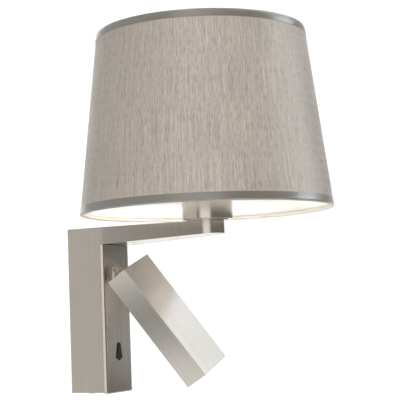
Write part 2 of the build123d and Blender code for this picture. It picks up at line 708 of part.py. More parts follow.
def spider_ring():
    """Flat fitter ring on the lampholder."""
    z = spider_z()
    ring = upright(SPIDER_RING_R, z, z + SPIDER_RING_T, 0, HOLDER_Y)
    return ring - upright(HOLDER_R + SCREW_GAP, z - CUT, z + SPIDER_RING_T + CUT, 0, HOLDER_Y)


def spider_wires(wire_r):
    """Straight wires of a given radius from the fitter ring up to the top wire."""
    radius, z_top = wire_place(SHADE_Z + SHADE_H, -1)
    z_low = spider_z() + SPIDER_RING_T / 2
    foot = (SPIDER_RING_R, 0, z_low)
    bend = (SPIDER_RING_R + 2 * WIRE_R, 0, z_low)
    end = (radius - WIRE_R, 0, z_top - WIRE_R)
    path = Polyline(foot, bend, end)
    profile = Plane(origin=path @ 0, z_dir=path % 0) * Circle(wire_r)
    wire = sweep(profile, path, transition=Transition.ROUND)
    turn = 360 / SPIDER_ARMS
    return [Pos(0, HOLDER_Y, 0) * Rot(0, 0, 90 + turn * k) * wire for k in range(SPIDER_ARMS)]


def spider_arms():
    """The wires that carry the shade."""
    return Compound(children=spider_wires(SPIDER_WIRE_R))


# ---------------------------------------------------------------- reading head joint
SWIVEL_PLACE = Pos(0, 0, PIVOT_Z) * Rot(0, HEAD_SWIVEL, 0)
HEAD_PLACE = Pos(0, PIVOT_Y, PIVOT_Z) * Rot(0, HEAD_SWIVEL, 0) * Rot(HEAD_TILT, 0, 0)
SHOULDER_BACK = SOCKET_FRONT - WASHER_T
SHOULDER_FRONT = SHOULDER_BACK - SHOULDER_T
SOCKET_BACK = SOCKET_FRONT + SOCKET_D
POST_BACK = SOCKET_BACK + POST_TAIL


def socket():
    """Square socket with a flange behind the cover and a round bore for the post."""
    half = SOCKET_W / 2
    wide = half + SOCKET_FLANGE
    flange_y = COVER_BACK + COVER_GAP / 2
    body = block(-half, half, SOCKET_FRONT, SOCKET_BACK, PIVOT_Z - half, PIVOT_Z + half)
    body = chamfer(body.edges().group_by(Axis.Y)[0], SOCKET_EDGE)
    body += block(-wide, wide, flange_y, flange_y + SOCKET_FLANGE_T, PIVOT_Z - wide, PIVOT_Z + wide)
    return body - outward(POST_R + RUNNING_GAP, SOCKET_FRONT - CUT, SOCKET_BACK + CUT, 0, PIVOT_Z)


def swivel_washer():
    """Nylon washer between socket and post."""
    washer = outward(SHOULDER_R, SOCKET_FRONT, SHOULDER_BACK)
    washer -= outward(POST_R + RUNNING_GAP, SOCKET_FRONT + CUT, SHOULDER_BACK - CUT)
    return SWIVEL_PLACE * washer


def swivel_post():
    """Turned post with a shoulder and a flat tongue that carries the tilt pin."""
    post = outward(POST_R, POST_BACK, SHOULDER_BACK) + outward(SHOULDER_R, SHOULDER_BACK, SHOULDER_FRONT)
    half = TONGUE_W / 2
    post += block(-half, half, SHOULDER_BACK, PIVOT_Y, -TONGUE_R, TONGUE_R)
    post += crosswise(TONGUE_R, -half, half, PIVOT_Y, 0)
    post -= crosswise(PIN_R + RUNNING_GAP, -half - CUT, half + CUT, PIVOT_Y, 0)
    post -= outward(POST_R / 2, POST_BACK + CUT, SHOULDER_BACK)
    return SWIVEL_PLACE * post


def swivel_spring():
    """Two spring washers behind the socket, pressed by the nut."""
    low = SOCKET_BACK + SPRING_GAP
    middle, high = low + SPRING_T, low + 2 * SPRING_T
    washer = outward(SHOULDER_R, low, middle)
    washer += outward(SHOULDER_R - SPRING_STEP, middle, high)
    return SWIVEL_PLACE * (washer - outward(POST_R, low - CUT, high + CUT))


def swivel_nut():
    """Hexagon lock nut on the post's thread."""
    nut = Rot(90, 0, 0) * extrude(RegularPolygon(SWIVEL_NUT_R, 6, major_radius=False), SWIVEL_NUT_T)
    nut = Pos(0, SOCKET_BACK + NUT_SEAT + SWIVEL_NUT_T, 0) * nut
    return SWIVEL_PLACE * (nut - outward(POST_R, SOCKET_BACK, POST_BACK))


# ---------------------------------------------------------------- reading head, pivot at (0, 0, 0)
HEAD_BACK = PIVOT_IN
HEAD_FRONT = PIVOT_IN - HEAD_T
HEAD_TOP = PIVOT_DOWN
HEAD_BOTTOM = PIVOT_DOWN - HEAD_L
LENS_LOW = HEAD_BOTTOM + LENS_FROM_END
LENS_HIGH = LENS_LOW + LENS_L


def tongue_slot():
    """Room for the tongue: open at the head's back and top."""
    half = TONGUE_W / 2 + SIDE_GAP
    reach = TONGUE_R + SIDE_GAP
    slot = block(-half, half, 0, HEAD_BACK + CUT, -reach, HEAD_TOP + CUT)
    slot += block(-half, half, -reach, 0, 0, HEAD_TOP + CUT)
    return slot + crosswise(reach, -half, half)


def head_housing():
    """Extruded rectangular housing with a window for the lens in its back face."""
    half = HEAD_W / 2
    tube = block(-half, half, HEAD_FRONT, HEAD_BACK, HEAD_BOTTOM, HEAD_TOP)
    tube = fillet(tube.edges(), HEAD_EDGE_R)
    tube -= block(
        -half + HEAD_WALL, half - HEAD_WALL, HEAD_FRONT + HEAD_WALL, HEAD_BACK - HEAD_WALL,
        HEAD_BOTTOM + CAP_T, HEAD_TOP + CUT,
    )
    tube -= block(-LENS_W / 2, LENS_W / 2, HEAD_BACK - 2 * HEAD_WALL, HEAD_BACK + CUT, LENS_LOW, LENS_HIGH)
    return HEAD_PLACE * (tube - tongue_slot())


def head_cap():
    """Cap pressed into the housing's upper end, notched for the tongue."""
    half = HEAD_W / 2 - HEAD_WALL
    cap = block(-half, half, HEAD_FRONT + HEAD_WALL, HEAD_BACK - HEAD_WALL, HEAD_TOP - CAP_T, HEAD_TOP)
    return HEAD_PLACE * (cap - tongue_slot())


def hinge_block():
    """Solid block in the housing that holds the tilt pin."""
    half = HINGE_BLOCK_W / 2
    top = HEAD_TOP - CAP_T
    body = block(-half, half, HEAD_FRONT + HEAD_WALL, HEAD_BACK - HEAD_WALL, top - HINGE_BLOCK_L, top)
    body -= tongue_slot()
    return HEAD_PLACE * (body - crosswise(PIN_R, -half - CUT, half + CUT))


def tilt_pin():
    """Steel pin of the tilt hinge, pressed into the block."""
    half = HINGE_BLOCK_W / 2 - PIN_IN
    return HEAD_PLACE * crosswise(PIN_R, -half, half)


def tilt_washers():
    """Friction washers either side of the tongue."""
    near = TONGUE_W / 2 + PLAY
    far = TONGUE_W / 2 + SIDE_GAP - PLAY
    washers = []
    for side in (-1, 1):
        ring = crosswise(TONGUE_R - TILT_WASHER_STEP, side * near, side * far)
        washers.append(HEAD_PLACE * (ring - crosswise(PIN_R, -HEAD_W, HEAD_W)))
    return Compound(children=washers)


def lens_bezel():
    """Thin frame that holds the lens in the window."""
    outer = LENS_W / 2 - PLAY
    back = HEAD_BACK - BEZEL_IN
    deep = HEAD_BACK - HEAD_WALL - LENS_T
    frame = block(-outer, outer, deep, back, LENS_LOW + PLAY, LENS_HIGH - PLAY)
    inner = outer - BEZEL_W
    edge = BEZEL_W + PLAY
    frame -= block(-inner, inner, deep - CUT, back + CUT, LENS_LOW + edge, LENS_HIGH - edge)
    return HEAD_PLACE * frame


def led_lens():
    """Frosted lens inside the bezel."""
    edge = BEZEL_W + PLAY
    inner = LENS_W / 2 - edge
    back = HEAD_BACK - LENS_IN
    lens = block(-inner, inner, back - LENS_T, back, LENS_LOW + edge, LENS_HIGH - edge)
    return HEAD_PLACE * lens


BOARD_BACK = HEAD_BACK - HEAD_WALL - LENS_T - LENS_TO_BOARD


def led_board():
    """Metal-core board behind the lens."""
    board = block(-LENS_W / 2, LENS_W / 2, BOARD_BACK - BOARD_T, BOARD_BACK, LENS_LOW, LENS_HIGH)
    return HEAD_PLACE * board


def led_chips():
    """LED packages in rows on the board."""
    pitch_x = LENS_W / CHIP_COLUMNS
    pitch_z = LENS_L / CHIP_ROWS
    chips = []
    for column in range(CHIP_COLUMNS):
        for row in range(CHIP_ROWS):
            x = (column + 0.5) * pitch_x - LENS_W / 2
            z = LENS_LOW + (row + 0.5) * pitch_z
            chip = block(
                x - CHIP / 2, x + CHIP / 2, BOARD_BACK, BOARD_BACK + CHIP_T, z - CHIP / 2, z + CHIP / 2
            )
            chips.append(HEAD_PLACE * chip)
    return Compound(children=chips)


def heat_sink():
    """Aluminium plate with fins in front of the board."""
    half = HEAD_W / 2 - HEAD_WALL - SINK_GAP
    low, high = LENS_LOW - SINK_OVER, LENS_HIGH + SINK_OVER
    face = BOARD_BACK - BOARD_T
    sink = block(-half, half, face - SINK_T, face, low, high)
    pitch = (2 * half - FIN_T) / (FIN_COUNT - 1)
    for k in range(FIN_COUNT):
        x = -half + k * pitch
        sink += block(x, x + FIN_T, face - SINK_T - FIN_H, face - SINK_T, low, high)
    return HEAD_PLACE * sink


# ---------------------------------------------------------------- electrics in the box
DRIVER_TOP = ENTRY_Z - ENTRY_R - DRIVER_DROP
BLOCK_LOW = TOP_Z - ARM_ROOT_H - BLOCK_H - BLOCK_DROP


def led_driver():
    """Driver of the reading light, in its moulded case."""
    y0 = PLATE_FRONT - STANDOFF
    z0 = DRIVER_TOP - DRIVER_H
    case = block(-DRIVER_W / 2, DRIVER_W / 2, y0, y0 - DRIVER_D, z0, DRIVER_TOP)
    return fillet(case.edges().filter_by(Axis.Y), DRIVER_EDGE_R)


def mounting_pads():
    """Foam pads that hold the driver and the terminal block to the wall plate."""
    z0 = DRIVER_TOP - DRIVER_H
    driver_pad = block(
        -DRIVER_W / 3, DRIVER_W / 3, PLATE_FRONT, PLATE_FRONT - STANDOFF,
        z0 + PAD_LOW, DRIVER_TOP - PAD_HIGH,
    )
    block_pad = block(
        -BLOCK_W / 3, 0, PLATE_FRONT, PLATE_FRONT - STANDOFF,
        BLOCK_LOW + CUT, BLOCK_LOW + BLOCK_H - CUT,
    )
    return Compound(children=[driver_pad, block_pad])


def terminal_block():
    """Three-pole terminal block with wire mouths above and below."""
    y0 = PLATE_FRONT - STANDOFF
    shift = -BLOCK_W / 6
    body = block(
        shift - BLOCK_W / 2, shift + BLOCK_W / 2, y0, y0 - BLOCK_D, BLOCK_LOW, BLOCK_LOW + BLOCK_H
    )
    for pole in range(BLOCK_POLES):
        x = shift + (pole - (BLOCK_POLES - 1) / 2) * BLOCK_W / BLOCK_POLES
        for z in (BLOCK_LOW, BLOCK_LOW + BLOCK_H):
            body -= upright(
                LEAD_R + LEAD_GAP, z - MOUTH_DEPTH, z + MOUTH_DEPTH, x, y0 - BLOCK_D * MOUTH_PLACE
            )
        front = y0 - BLOCK_D
        body -= outward(
            TERMINAL_SCREW_R, front + MOUTH_DEPTH, front - CUT, x, BLOCK_LOW + BLOCK_H / 2
        )
    return body


def lamp_leads():
    """Live and neutral lead from the terminal block through the arm to the lampholder."""
    leads = []
    y_block = PLATE_FRONT - STANDOFF - BLOCK_D * MOUTH_PLACE
    z_run = underside_z(HOLDER_Y, CLOSER_INSET + CLOSER_T + LEAD_R + LEAD_GAP)
    shift = -BLOCK_W / 6
    for side in (-1, 1):
        x_block = shift + side * BLOCK_W / BLOCK_POLES
        x_run = side * (BOSS_R + LEAD_R + LEAD_FROM_BOSS)
        x_rise = side * LEAD_PITCH / 2
        route = [
            (x_block, y_block, BLOCK_LOW + BLOCK_H - LEAD_IN),
            (x_block, y_block, z_run),
            (x_run, y_block - LEAD_STRAIGHT, z_run),
            (x_run, HOLDER_Y + LEAD_STRAIGHT, z_run),
            (x_rise, HOLDER_Y, z_run),
            (x_rise, HOLDER_Y, HOLDER_Z + HOLDER_BASE_H - CUT),
        ]
        path = FilletPolyline(*route, radius=LEAD_BEND)
        profile = Plane(origin=path @ 0, z_dir=path % 0) * Circle(LEAD_R)
        leads.append(sweep(profile, path))
    return Compound(children=leads)


PIECES = {
    "wall_plate": wall_plate,
    "entry_grommet": entry_grommet,
    "earth_screw": earth_screw,
    "earth_lug": earth_lug,
    "lock_screw": lock_screw,
    "body_shell": body_shell,
    "closing_plate": closing_plate,
    "closer_screws": closer_screws,
    "front_cover": front_cover,
    "cover_screw": cover_screw,
    "switch_body": switch_body,
    "switch_terminals": switch_terminals,
    "switch_key": switch_key,
    "led_driver": led_driver,
    "mounting_pads": mounting_pads,
    "terminal_block": terminal_block,
    "lamp_leads": lamp_leads,
    "nipple": nipple,
    "nipple_nut": nipple_nut,
    "cup_spacer": cup_spacer,
    "holder_cup": holder_cup,
    "lampholder": lampholder,
    "holder_sleeve": holder_sleeve,
    "centre_contact": centre_contact,
    "ring_nuts": ring_nuts,
    "bulb_cap": bulb_cap,
    "bulb_globe": bulb_globe,
    "spider_ring": spider_ring,
    "spider_arms": spider_arms,
    "shade_wire_top": lambda: shade_wire(SHADE_Z + SHADE_H, -1),
    "shade_wire_bottom": lambda: shade_wire(SHADE_Z, 1),
    "shade_skin": shade_skin,
    "shade_lining": shade_lining,
    "shade_trim_top": lambda: shade_trim(SHADE_Z + SHADE_H, -1),
    "shade_trim_bottom": lambda: shade_trim(SHADE_Z, 1),
    "hinge_socket": socket,
    "swivel_washer": swivel_washer,
    "swivel_post": swivel_post,
    "swivel_spring": swivel_spring,
    "swivel_nut": swivel_nut,
    "head_housing": head_housing,
    "head_cap": head_cap,
    "hinge_block": hinge_block,
    "tilt_pin": tilt_pin,
    "tilt_washers": tilt_washers,
    "lens_bezel": lens_bezel,
    "led_lens": led_lens,
    "led_board": led_board,
    "led_chips": led_chips,
    "heat_sink": heat_sink,
}

os.makedirs("parts", exist_ok=True)
for name, make in PIECES.items():
    export_step(make(), f"parts/{name}.step")
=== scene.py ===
"""Looks of a wall light: a tapered fabric shade on a short arm over a small reading head.

Everything is in metres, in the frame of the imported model: +Z up, the wall at y = 0, the light along -Y.
"""
import json
import math

import bmesh
import bpy
from bpy.props import FloatProperty, FloatVectorProperty, IntProperty, PointerProperty
from mathutils import Euler, Matrix, Vector


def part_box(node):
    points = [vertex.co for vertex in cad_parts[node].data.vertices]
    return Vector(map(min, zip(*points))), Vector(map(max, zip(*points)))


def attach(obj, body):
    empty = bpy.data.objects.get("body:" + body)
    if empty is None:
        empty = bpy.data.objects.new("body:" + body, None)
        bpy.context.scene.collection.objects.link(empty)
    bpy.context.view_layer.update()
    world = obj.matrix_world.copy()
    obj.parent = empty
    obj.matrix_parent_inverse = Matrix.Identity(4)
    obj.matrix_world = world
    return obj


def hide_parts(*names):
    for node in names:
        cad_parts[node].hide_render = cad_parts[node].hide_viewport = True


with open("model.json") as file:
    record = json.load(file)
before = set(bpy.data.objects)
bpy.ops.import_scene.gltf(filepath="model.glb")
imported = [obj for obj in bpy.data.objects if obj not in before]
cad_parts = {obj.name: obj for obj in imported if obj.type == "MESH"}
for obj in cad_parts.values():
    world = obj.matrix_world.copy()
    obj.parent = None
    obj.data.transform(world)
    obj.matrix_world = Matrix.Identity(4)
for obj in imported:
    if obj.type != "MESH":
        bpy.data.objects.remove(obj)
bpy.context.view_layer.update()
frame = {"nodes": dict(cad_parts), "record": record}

bl_info = {
    "name": "Wall light with reading head",
    "version": (1, 0, 0),
    "blender": (4, 5, 0),
    "location": "3D View > Sidebar > Wall light",
    "description": "Builds the pieces of the wall light one by one",
    "category": "Object",
}

MM = 0.001
NODES = frame["nodes"]
BODY_OF = {
    node: body for body, nodes in frame["record"]["behaviour"]["bodies"].items() for node in nodes
}
JOINT_RANGE = {
    joint["name"]: [math.radians(limit) for limit in joint["range_deg"]]
    for joint in frame["record"]["behaviour"]["joints"]
}
HEAD_SWIVEL = -sum(JOINT_RANGE["head_swivel"]) / 2    # the travel's middle is straight down
HEAD_TILT = -JOINT_RANGE["head_tilt"][1]              # the upper limit lies against the cover

SHADE_AXIS = Vector((0.0, (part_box("shade_skin")[0][1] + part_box("shade_skin")[1][1]) / 2, 0.0))
FABRIC_T = 0.6 * MM
FABRIC_CLEAR = 0.02 * MM    # between the fabric and the tape over it
LINING_T = 0.45 * MM
LINING_INSET = 0.7 * MM     # from the fabric's outer face to the lining's
TAPE_T = 0.4 * MM
TAPE_BAND = 8.0 * MM        # height of the tape's outer band
TAPE_FOLD = 2.7 * MM        # half width of the fold round the wire
TAPE_SAG = 2.15 * MM        # height of the fold
TAPE_RISE = 1.2 * MM        # the turned-in edge, above the fold

COVER_BEND = 1.25 * MM      # soft bend along the cover's upright edges
COVER_DEPTH = 3.0 * MM      # cover sheet and rim together
COVER_LEAN = 0.85 * MM      # how far the rims lean inward at the front

PRISM_FIELD = (29.6 * MM, 57.6 * MM)    # width and length of the lens's prisms
PRISM_H = 0.45 * MM


# ---------------------------------------------------------------- settings a user would change
class MetalSettings(bpy.types.PropertyGroup):
    colour: FloatVectorProperty(
        name="Nickel", description="Colour of the satin nickel", subtype="COLOR",
        default=(0.60, 0.55, 0.492), min=0, max=1,
    )
    roughness: FloatProperty(
        name="Roughness", description="How far the satin finish blurs what it mirrors",
        default=0.19, min=0, max=1, subtype="FACTOR",
    )
    grain: FloatProperty(
        name="Grain", description="Width of one brush line", default=0.22 * MM, unit="LENGTH",
    )
    edge: FloatProperty(
        name="Edge", description="Radius of the broken edges", default=0.45 * MM, unit="LENGTH",
    )


class ShadeSettings(bpy.types.PropertyGroup):
    fabric: FloatVectorProperty(
        name="Fabric", description="Colour of the shade's fabric", subtype="COLOR",
        default=(0.190, 0.165, 0.143), min=0, max=1,
    )
    tape: FloatVectorProperty(
        name="Tape", description="Colour of the folded tape", subtype="COLOR",
        default=(0.078, 0.070, 0.058), min=0, max=1,
    )
    lining: FloatVectorProperty(
        name="Lining", description="Colour of the lining", subtype="COLOR",
        default=(0.93, 0.92, 0.895), min=0, max=1,
    )
    thread: FloatProperty(
        name="Thread", description="Distance between two threads", default=0.55 * MM, unit="LENGTH",
    )
    slub_width: FloatProperty(
        name="Slub width", description="Width of a thick stretch of thread",
        default=1.0 * MM, unit="LENGTH",
    )
    slub_length: FloatProperty(
        name="Slub length", description="Length of a thick stretch of thread",
        default=9 * MM, unit="LENGTH",
    )
    segments: IntProperty(
        name="Segments", description="Faces round the shade", default=256, min=32, max=512,
    )


class LensSettings(bpy.types.PropertyGroup):
    pitch: FloatProperty(
        name="Prism pitch", description="Distance between two prisms of the lens",
        default=2.4 * MM, unit="LENGTH",
    )


class StageSettings(bpy.types.PropertyGroup):
    place: FloatVectorProperty(
        name="Camera", description="Where the camera stands", default=(-1.0404, -0.6809, -0.0035),
        unit="LENGTH",
    )
    heading: FloatProperty(
        name="Heading", description="Turn of the camera about the vertical",
        default=math.radians(-62.59), unit="ROTATION",
    )
    pitch: FloatProperty(
        name="Pitch", description="Upward tilt of the camera", default=math.radians(5.26),
        unit="ROTATION",
    )
    roll: FloatProperty(
        name="Roll", description="Roll of the camera", default=math.radians(-2.19), unit="ROTATION",
    )
    lens: FloatProperty(
        name="Lens", description="Focal length in millimetres", default=106.8, min=20, max=300,
    )
    floor: FloatProperty(
        name="Floor", description="Height of the floor", default=-0.38, unit="LENGTH",
    )


# ---------------------------------------------------------------- shared node groups
def new_group(name, inputs, outputs, kind="ShaderNodeTree"):
    """An empty group with named sockets; returns the tree and its two ends."""
    tree = bpy.data.node_groups.new(name, kind)
    for label, socket_type, default in inputs:
        socket = tree.interface.new_socket(label, in_out="INPUT", socket_type=socket_type)
        if default is not None:
            socket.default_value = default
    for label, socket_type in outputs:
        tree.interface.new_socket(label, in_out="OUTPUT", socket_type=socket_type)
    return tree, tree.nodes.new("NodeGroupInput"), tree.nodes.new("NodeGroupOutput")


def add(tree, kind, **settings):
    """A node with its settings; a setting named in_X sets the default of input X."""
    node = tree.nodes.new(kind)
    for key, value in settings.items():
        if key.startswith("in_"):
            label = key.removeprefix("in_")
            socket = int(label) if label.isdigit() else label.replace("_", " ")
            node.inputs[socket].default_value = value
        else:
            setattr(node, key, value)
    return node


def math_node(tree, operation, first, second=None, clamp=False):
    """One Math node; each operand is a socket or a number."""
    node = add(tree, "ShaderNodeMath", operation=operation, use_clamp=clamp)
    for index, operand in enumerate((first, second)):
        if operand is None:
            continue
        if isinstance(operand, (int, float)):
            node.inputs[index].default_value = operand
        else:
            tree.links.new(operand, node.inputs[index])
    return node.outputs[0]


def grain_group():
    """Brush lines along local Z: a tone and a height, both about 0.5."""
    tree, source, sink = new_group(
        "brushed grain",
        [("Vector", "NodeSocketVector", None), ("Line", "NodeSocketFloat", 0.2 * MM),
         ("Length", "NodeSocketFloat", 30 * MM)],
        [("Tone", "NodeSocketFloat"), ("Height", "NodeSocketFloat")],
    )
    across = math_node(tree, "DIVIDE", 1.0, source.outputs["Line"])
    along = math_node(tree, "DIVIDE", 1.0, source.outputs["Length"])
    scale = add(tree, "ShaderNodeCombineXYZ")
    for axis, value in (("X", across), ("Y", across), ("Z", along)):
        tree.links.new(value, scale.inputs[axis])
    stretch = add(tree, "ShaderNodeVectorMath", operation="MULTIPLY")
    tree.links.new(source.outputs["Vector"], stretch.inputs[0])
    tree.links.new(scale.outputs[0], stretch.inputs[1])
    fine = add(tree, "ShaderNodeTexNoise", in_Scale=1.0, in_Detail=3.0, in_Roughness=0.6)
    broad = add(tree, "ShaderNodeTexNoise", in_Scale=0.25, in_Detail=2.0, in_Roughness=0.6)
    for noise in (fine, broad):
        tree.links.new(stretch.outputs[0], noise.inputs["Vector"])
    mixed = math_node(tree, "MULTIPLY_ADD", fine.outputs["Fac"], 0.3)
    tree.links.new(math_node(tree, "MULTIPLY", broad.outputs["Fac"], 0.7), mixed.node.inputs[2])
    tree.links.new(mixed, sink.inputs["Tone"])
    tree.links.new(fine.outputs["Fac"], sink.inputs["Height"])
    return tree


def drift_group():
    """Slow patches of tone and fine dust over a surface."""
    tree, source, sink = new_group(
        "tone drift",
        [("Vector", "NodeSocketVector", None), ("Patch", "NodeSocketFloat", 50 * MM)],
        [("Tone", "NodeSocketFloat"), ("Dust", "NodeSocketFloat")],
    )
    scale = math_node(tree, "DIVIDE", 1.0, source.outputs["Patch"])
    patches = add(tree, "ShaderNodeTexNoise", in_Detail=2.0)
    tree.links.new(source.outputs["Vector"], patches.inputs["Vector"])
    tree.links.new(scale, patches.inputs["Scale"])
    specks = add(tree, "ShaderNodeTexNoise", in_Scale=2600.0, in_Detail=1.0)
    tree.links.new(source.outputs["Vector"], specks.inputs["Vector"])
    dust = add(tree, "ShaderNodeMapRange", in_1=0.62, in_2=0.78)
    tree.links.new(specks.outputs["Fac"], dust.inputs[0])
    tree.links.new(patches.outputs["Fac"], sink.inputs["Tone"])
    tree.links.new(dust.outputs[0], sink.inputs["Dust"])
    return tree


def weave_group():
    """Woven threads with slubs along V. The UV map is in metres."""
    tree, source, sink = new_group(
        "slub weave",
        [("Vector", "NodeSocketVector", None), ("Thread", "NodeSocketFloat", 0.5 * MM),
         ("Slub width", "NodeSocketFloat", 1.0 * MM), ("Slub length", "NodeSocketFloat", 9 * MM)],
        [("Tone", "NodeSocketFloat"), ("Slub", "NodeSocketFloat"), ("Height", "NodeSocketFloat")],
    )
    parts = add(tree, "ShaderNodeSeparateXYZ")
    tree.links.new(source.outputs["Vector"], parts.inputs[0])
    turn = math_node(tree, "DIVIDE", math.tau, source.outputs["Thread"])
    waves = []
    for axis in ("X", "Y"):
        phase = math_node(tree, "MULTIPLY", parts.outputs[axis], turn)
        waves.append(math_node(tree, "SINE", phase))
    cloth = math_node(tree, "MULTIPLY", waves[0], waves[1])
    cloth = math_node(tree, "MULTIPLY_ADD", cloth, 0.5)
    cloth.node.inputs[2].default_value = 0.5
    layers = []
    for wide, long in ((1.0, 1.0), (0.8, 5.0), (3.4, 5.0)):
        across = math_node(tree, "DIVIDE", 1.0 / wide, source.outputs["Slub width"])
        along = math_node(tree, "DIVIDE", 1.0 / long, source.outputs["Slub length"])
        scale = add(tree, "ShaderNodeCombineXYZ")
        tree.links.new(across, scale.inputs["X"])
        tree.links.new(along, scale.inputs["Y"])
        stretch = add(tree, "ShaderNodeVectorMath", operation="MULTIPLY")
        tree.links.new(source.outputs["Vector"], stretch.inputs[0])
        tree.links.new(scale.outputs[0], stretch.inputs[1])
        noise = add(tree, "ShaderNodeTexNoise", in_Scale=1.0, in_Detail=3.0, in_Roughness=0.55)
        tree.links.new(stretch.outputs[0], noise.inputs["Vector"])
        layers.append(noise.outputs["Fac"])
    slub, line = (add(tree, "ShaderNodeMapRange", in_1=0.34, in_2=0.66) for _ in range(2))
    tree.links.new(layers[0], slub.inputs[0])
    tree.links.new(layers[1], line.inputs[0])
    tone = math_node(tree, "MULTIPLY", layers[2], 0.26)
    for layer, weight in ((slub, 0.40), (line, 0.34)):
        part = math_node(tree, "MULTIPLY", layer.outputs[0], weight)
        tone = math_node(tree, "ADD", tone, part)
    height = math_node(tree, "MULTIPLY_ADD", slub.outputs[0], 0.6)
    tree.links.new(math_node(tree, "MULTIPLY", cloth, 0.4), height.node.inputs[2])
    tree.links.new(tone, sink.inputs["Tone"])
    tree.links.new(slub.outputs[0], sink.inputs["Slub"])
    tree.links.new(height, sink.inputs["Height"])
    return tree


GROUPS = {}


def group_node(tree, name, **inputs):
    """The shared group of that name, built on first use, with its values set."""
    makers = {"grain": grain_group, "drift": drift_group, "weave": weave_group}
    if name not in GROUPS:
        GROUPS[name] = makers[name]()
    node = tree.nodes.new("ShaderNodeGroup")
    node.node_tree = GROUPS[name]
    for label, value in inputs.items():
        node.inputs[label.replace("_", " ")].default_value = value
    return node


# ---------------------------------------------------------------- materials
def new_material(name, colour, roughness, metallic=0.0):
    """A Principled material; returns it with its tree, its shader and its object coordinates."""
    material = bpy.data.materials.new(name)
    material.use_nodes = True
    tree = material.node_tree
    shader = tree.nodes["Principled BSDF"]
    shader.inputs["Base Color"].default_value = (*colour, 1)
    shader.inputs["Roughness"].default_value = roughness
    shader.inputs["Metallic"].default_value = metallic
    coordinates = tree.nodes.new("ShaderNodeTexCoord")
    return material, tree, shader, coordinates


def spread(tree, factor, low, high):
    """Maps 0..1 to low..high."""
    node = add(tree, "ShaderNodeMapRange", in_3=low, in_4=high)
    tree.links.new(factor, node.inputs[0])
    return node.outputs[0]


def tint(tree, factor, dark, light):
    """Colour between two colours."""
    node = add(tree, "ShaderNodeMix", data_type="RGBA")
    ends = [socket for socket in node.inputs if socket.type == "RGBA"]
    for socket, colour in zip(ends, (dark, light)):
        socket.default_value = (*colour, 1)
    tree.links.new(factor, node.inputs[0])
    return next(socket for socket in node.outputs if socket.type == "RGBA")


def vary(tree, shader, tone, colours, roughness=()):
    """The shader's colour, and its roughness where given, follow a tone between two ends."""
    tree.links.new(tint(tree, tone, *colours), shader.inputs["Base Color"])
    if roughness:
        tree.links.new(spread(tree, tone, *roughness), shader.inputs["Roughness"])


def relief(tree, shader, height, distance, strength=1.0):
    """Bump from a height into the shader."""
    bump = add(tree, "ShaderNodeBump", in_Strength=strength, in_Distance=distance)
    tree.links.new(height, bump.inputs["Height"])
    tree.links.new(bump.outputs[0], shader.inputs["Normal"])


def scaled(colour, factor):
    """A colour made lighter or darker."""
    return tuple(min(1.0, c * factor) for c in colour)


def between(colour, dark, light):
    """The darkest and the lightest shade of a colour."""
    return scaled(colour, dark), scaled(colour, light)


def turning_marks(tree, shader, coordinates):
    """Reflections drawn out round the shade's axis, as on a turned face."""
    shader.inputs["Anisotropic"].default_value = 0.75
    shader.inputs["Anisotropic Rotation"].default_value = 0.25
    arm = add(tree, "ShaderNodeVectorMath", operation="SUBTRACT")
    arm.inputs[1].default_value = tuple(SHADE_AXIS)
    tangent = add(tree, "ShaderNodeVectorMath", operation="CROSS_PRODUCT")
    tangent.inputs[0].default_value = (0, 0, 1)
    tree.links.new(coordinates.outputs["Object"], arm.inputs[0])
    tree.links.new(arm.outputs[0], tangent.inputs[1])
    tree.links.new(tangent.outputs[0], shader.inputs["Tangent"])


def satin_nickel(name, turn=(0.0, 0.0, 0.0), turned=False, gloss=1.0, contrast=0.2):
    """Satin nickel, brushed along local Z after the turn, or round the axis when turned."""
    look = bpy.context.scene.metal_settings
    material, tree, shader, coordinates = new_material(name, look.colour, look.roughness, 1.0)
    place = add(tree, "ShaderNodeMapping", vector_type="TEXTURE")
    place.inputs["Rotation"].default_value = turn
    tree.links.new(coordinates.outputs["Object"], place.inputs["Vector"])
    vector = place.outputs[0]
    if turned:
        turning_marks(tree, shader, coordinates)
        height = add(tree, "ShaderNodeSeparateXYZ")
        rings = add(tree, "ShaderNodeCombineXYZ")
        tree.links.new(vector, height.inputs[0])
        tree.links.new(height.outputs["Z"], rings.inputs["X"])
        vector = rings.outputs[0]
    grain = group_node(tree, "grain", Line=look.grain, Length=45 * MM)
    drift = group_node(tree, "drift", Patch=60 * MM)
    tree.links.new(vector, grain.inputs["Vector"])
    tree.links.new(coordinates.outputs["Object"], drift.inputs["Vector"])
    tone = math_node(tree, "MULTIPLY_ADD", drift.outputs["Tone"], 0.3)
    tree.links.new(math_node(tree, "MULTIPLY", grain.outputs["Tone"], 0.7), tone.node.inputs[2])
    vary(tree, shader, tone, between(look.colour, 1 - contrast, 1 + contrast))
    blur = look.roughness * gloss
    rough = spread(tree, grain.outputs["Tone"], blur * 0.8, blur * 1.2)
    tree.links.new(rough, shader.inputs["Roughness"])
    relief(tree, shader, grain.outputs["Height"], 0.012 * MM)
    return material


def edge_highlight_material():
    """The broken edges of the nickel pieces, smoother than the faces, with a painted highlight: their
    colour is made brighter than the faces'.
    """
    look = bpy.context.scene.metal_settings
    material, tree, shader, coordinates = new_material(
        "edge with painted highlight", scaled(look.colour, 1.18), look.roughness * 0.7, 1.0
    )
    drift = group_node(tree, "drift", Patch=9 * MM)
    tree.links.new(coordinates.outputs["Object"], drift.inputs["Vector"])
    vary(tree, shader, drift.outputs["Tone"], between(look.colour, 1.05, 1.3))
    return material


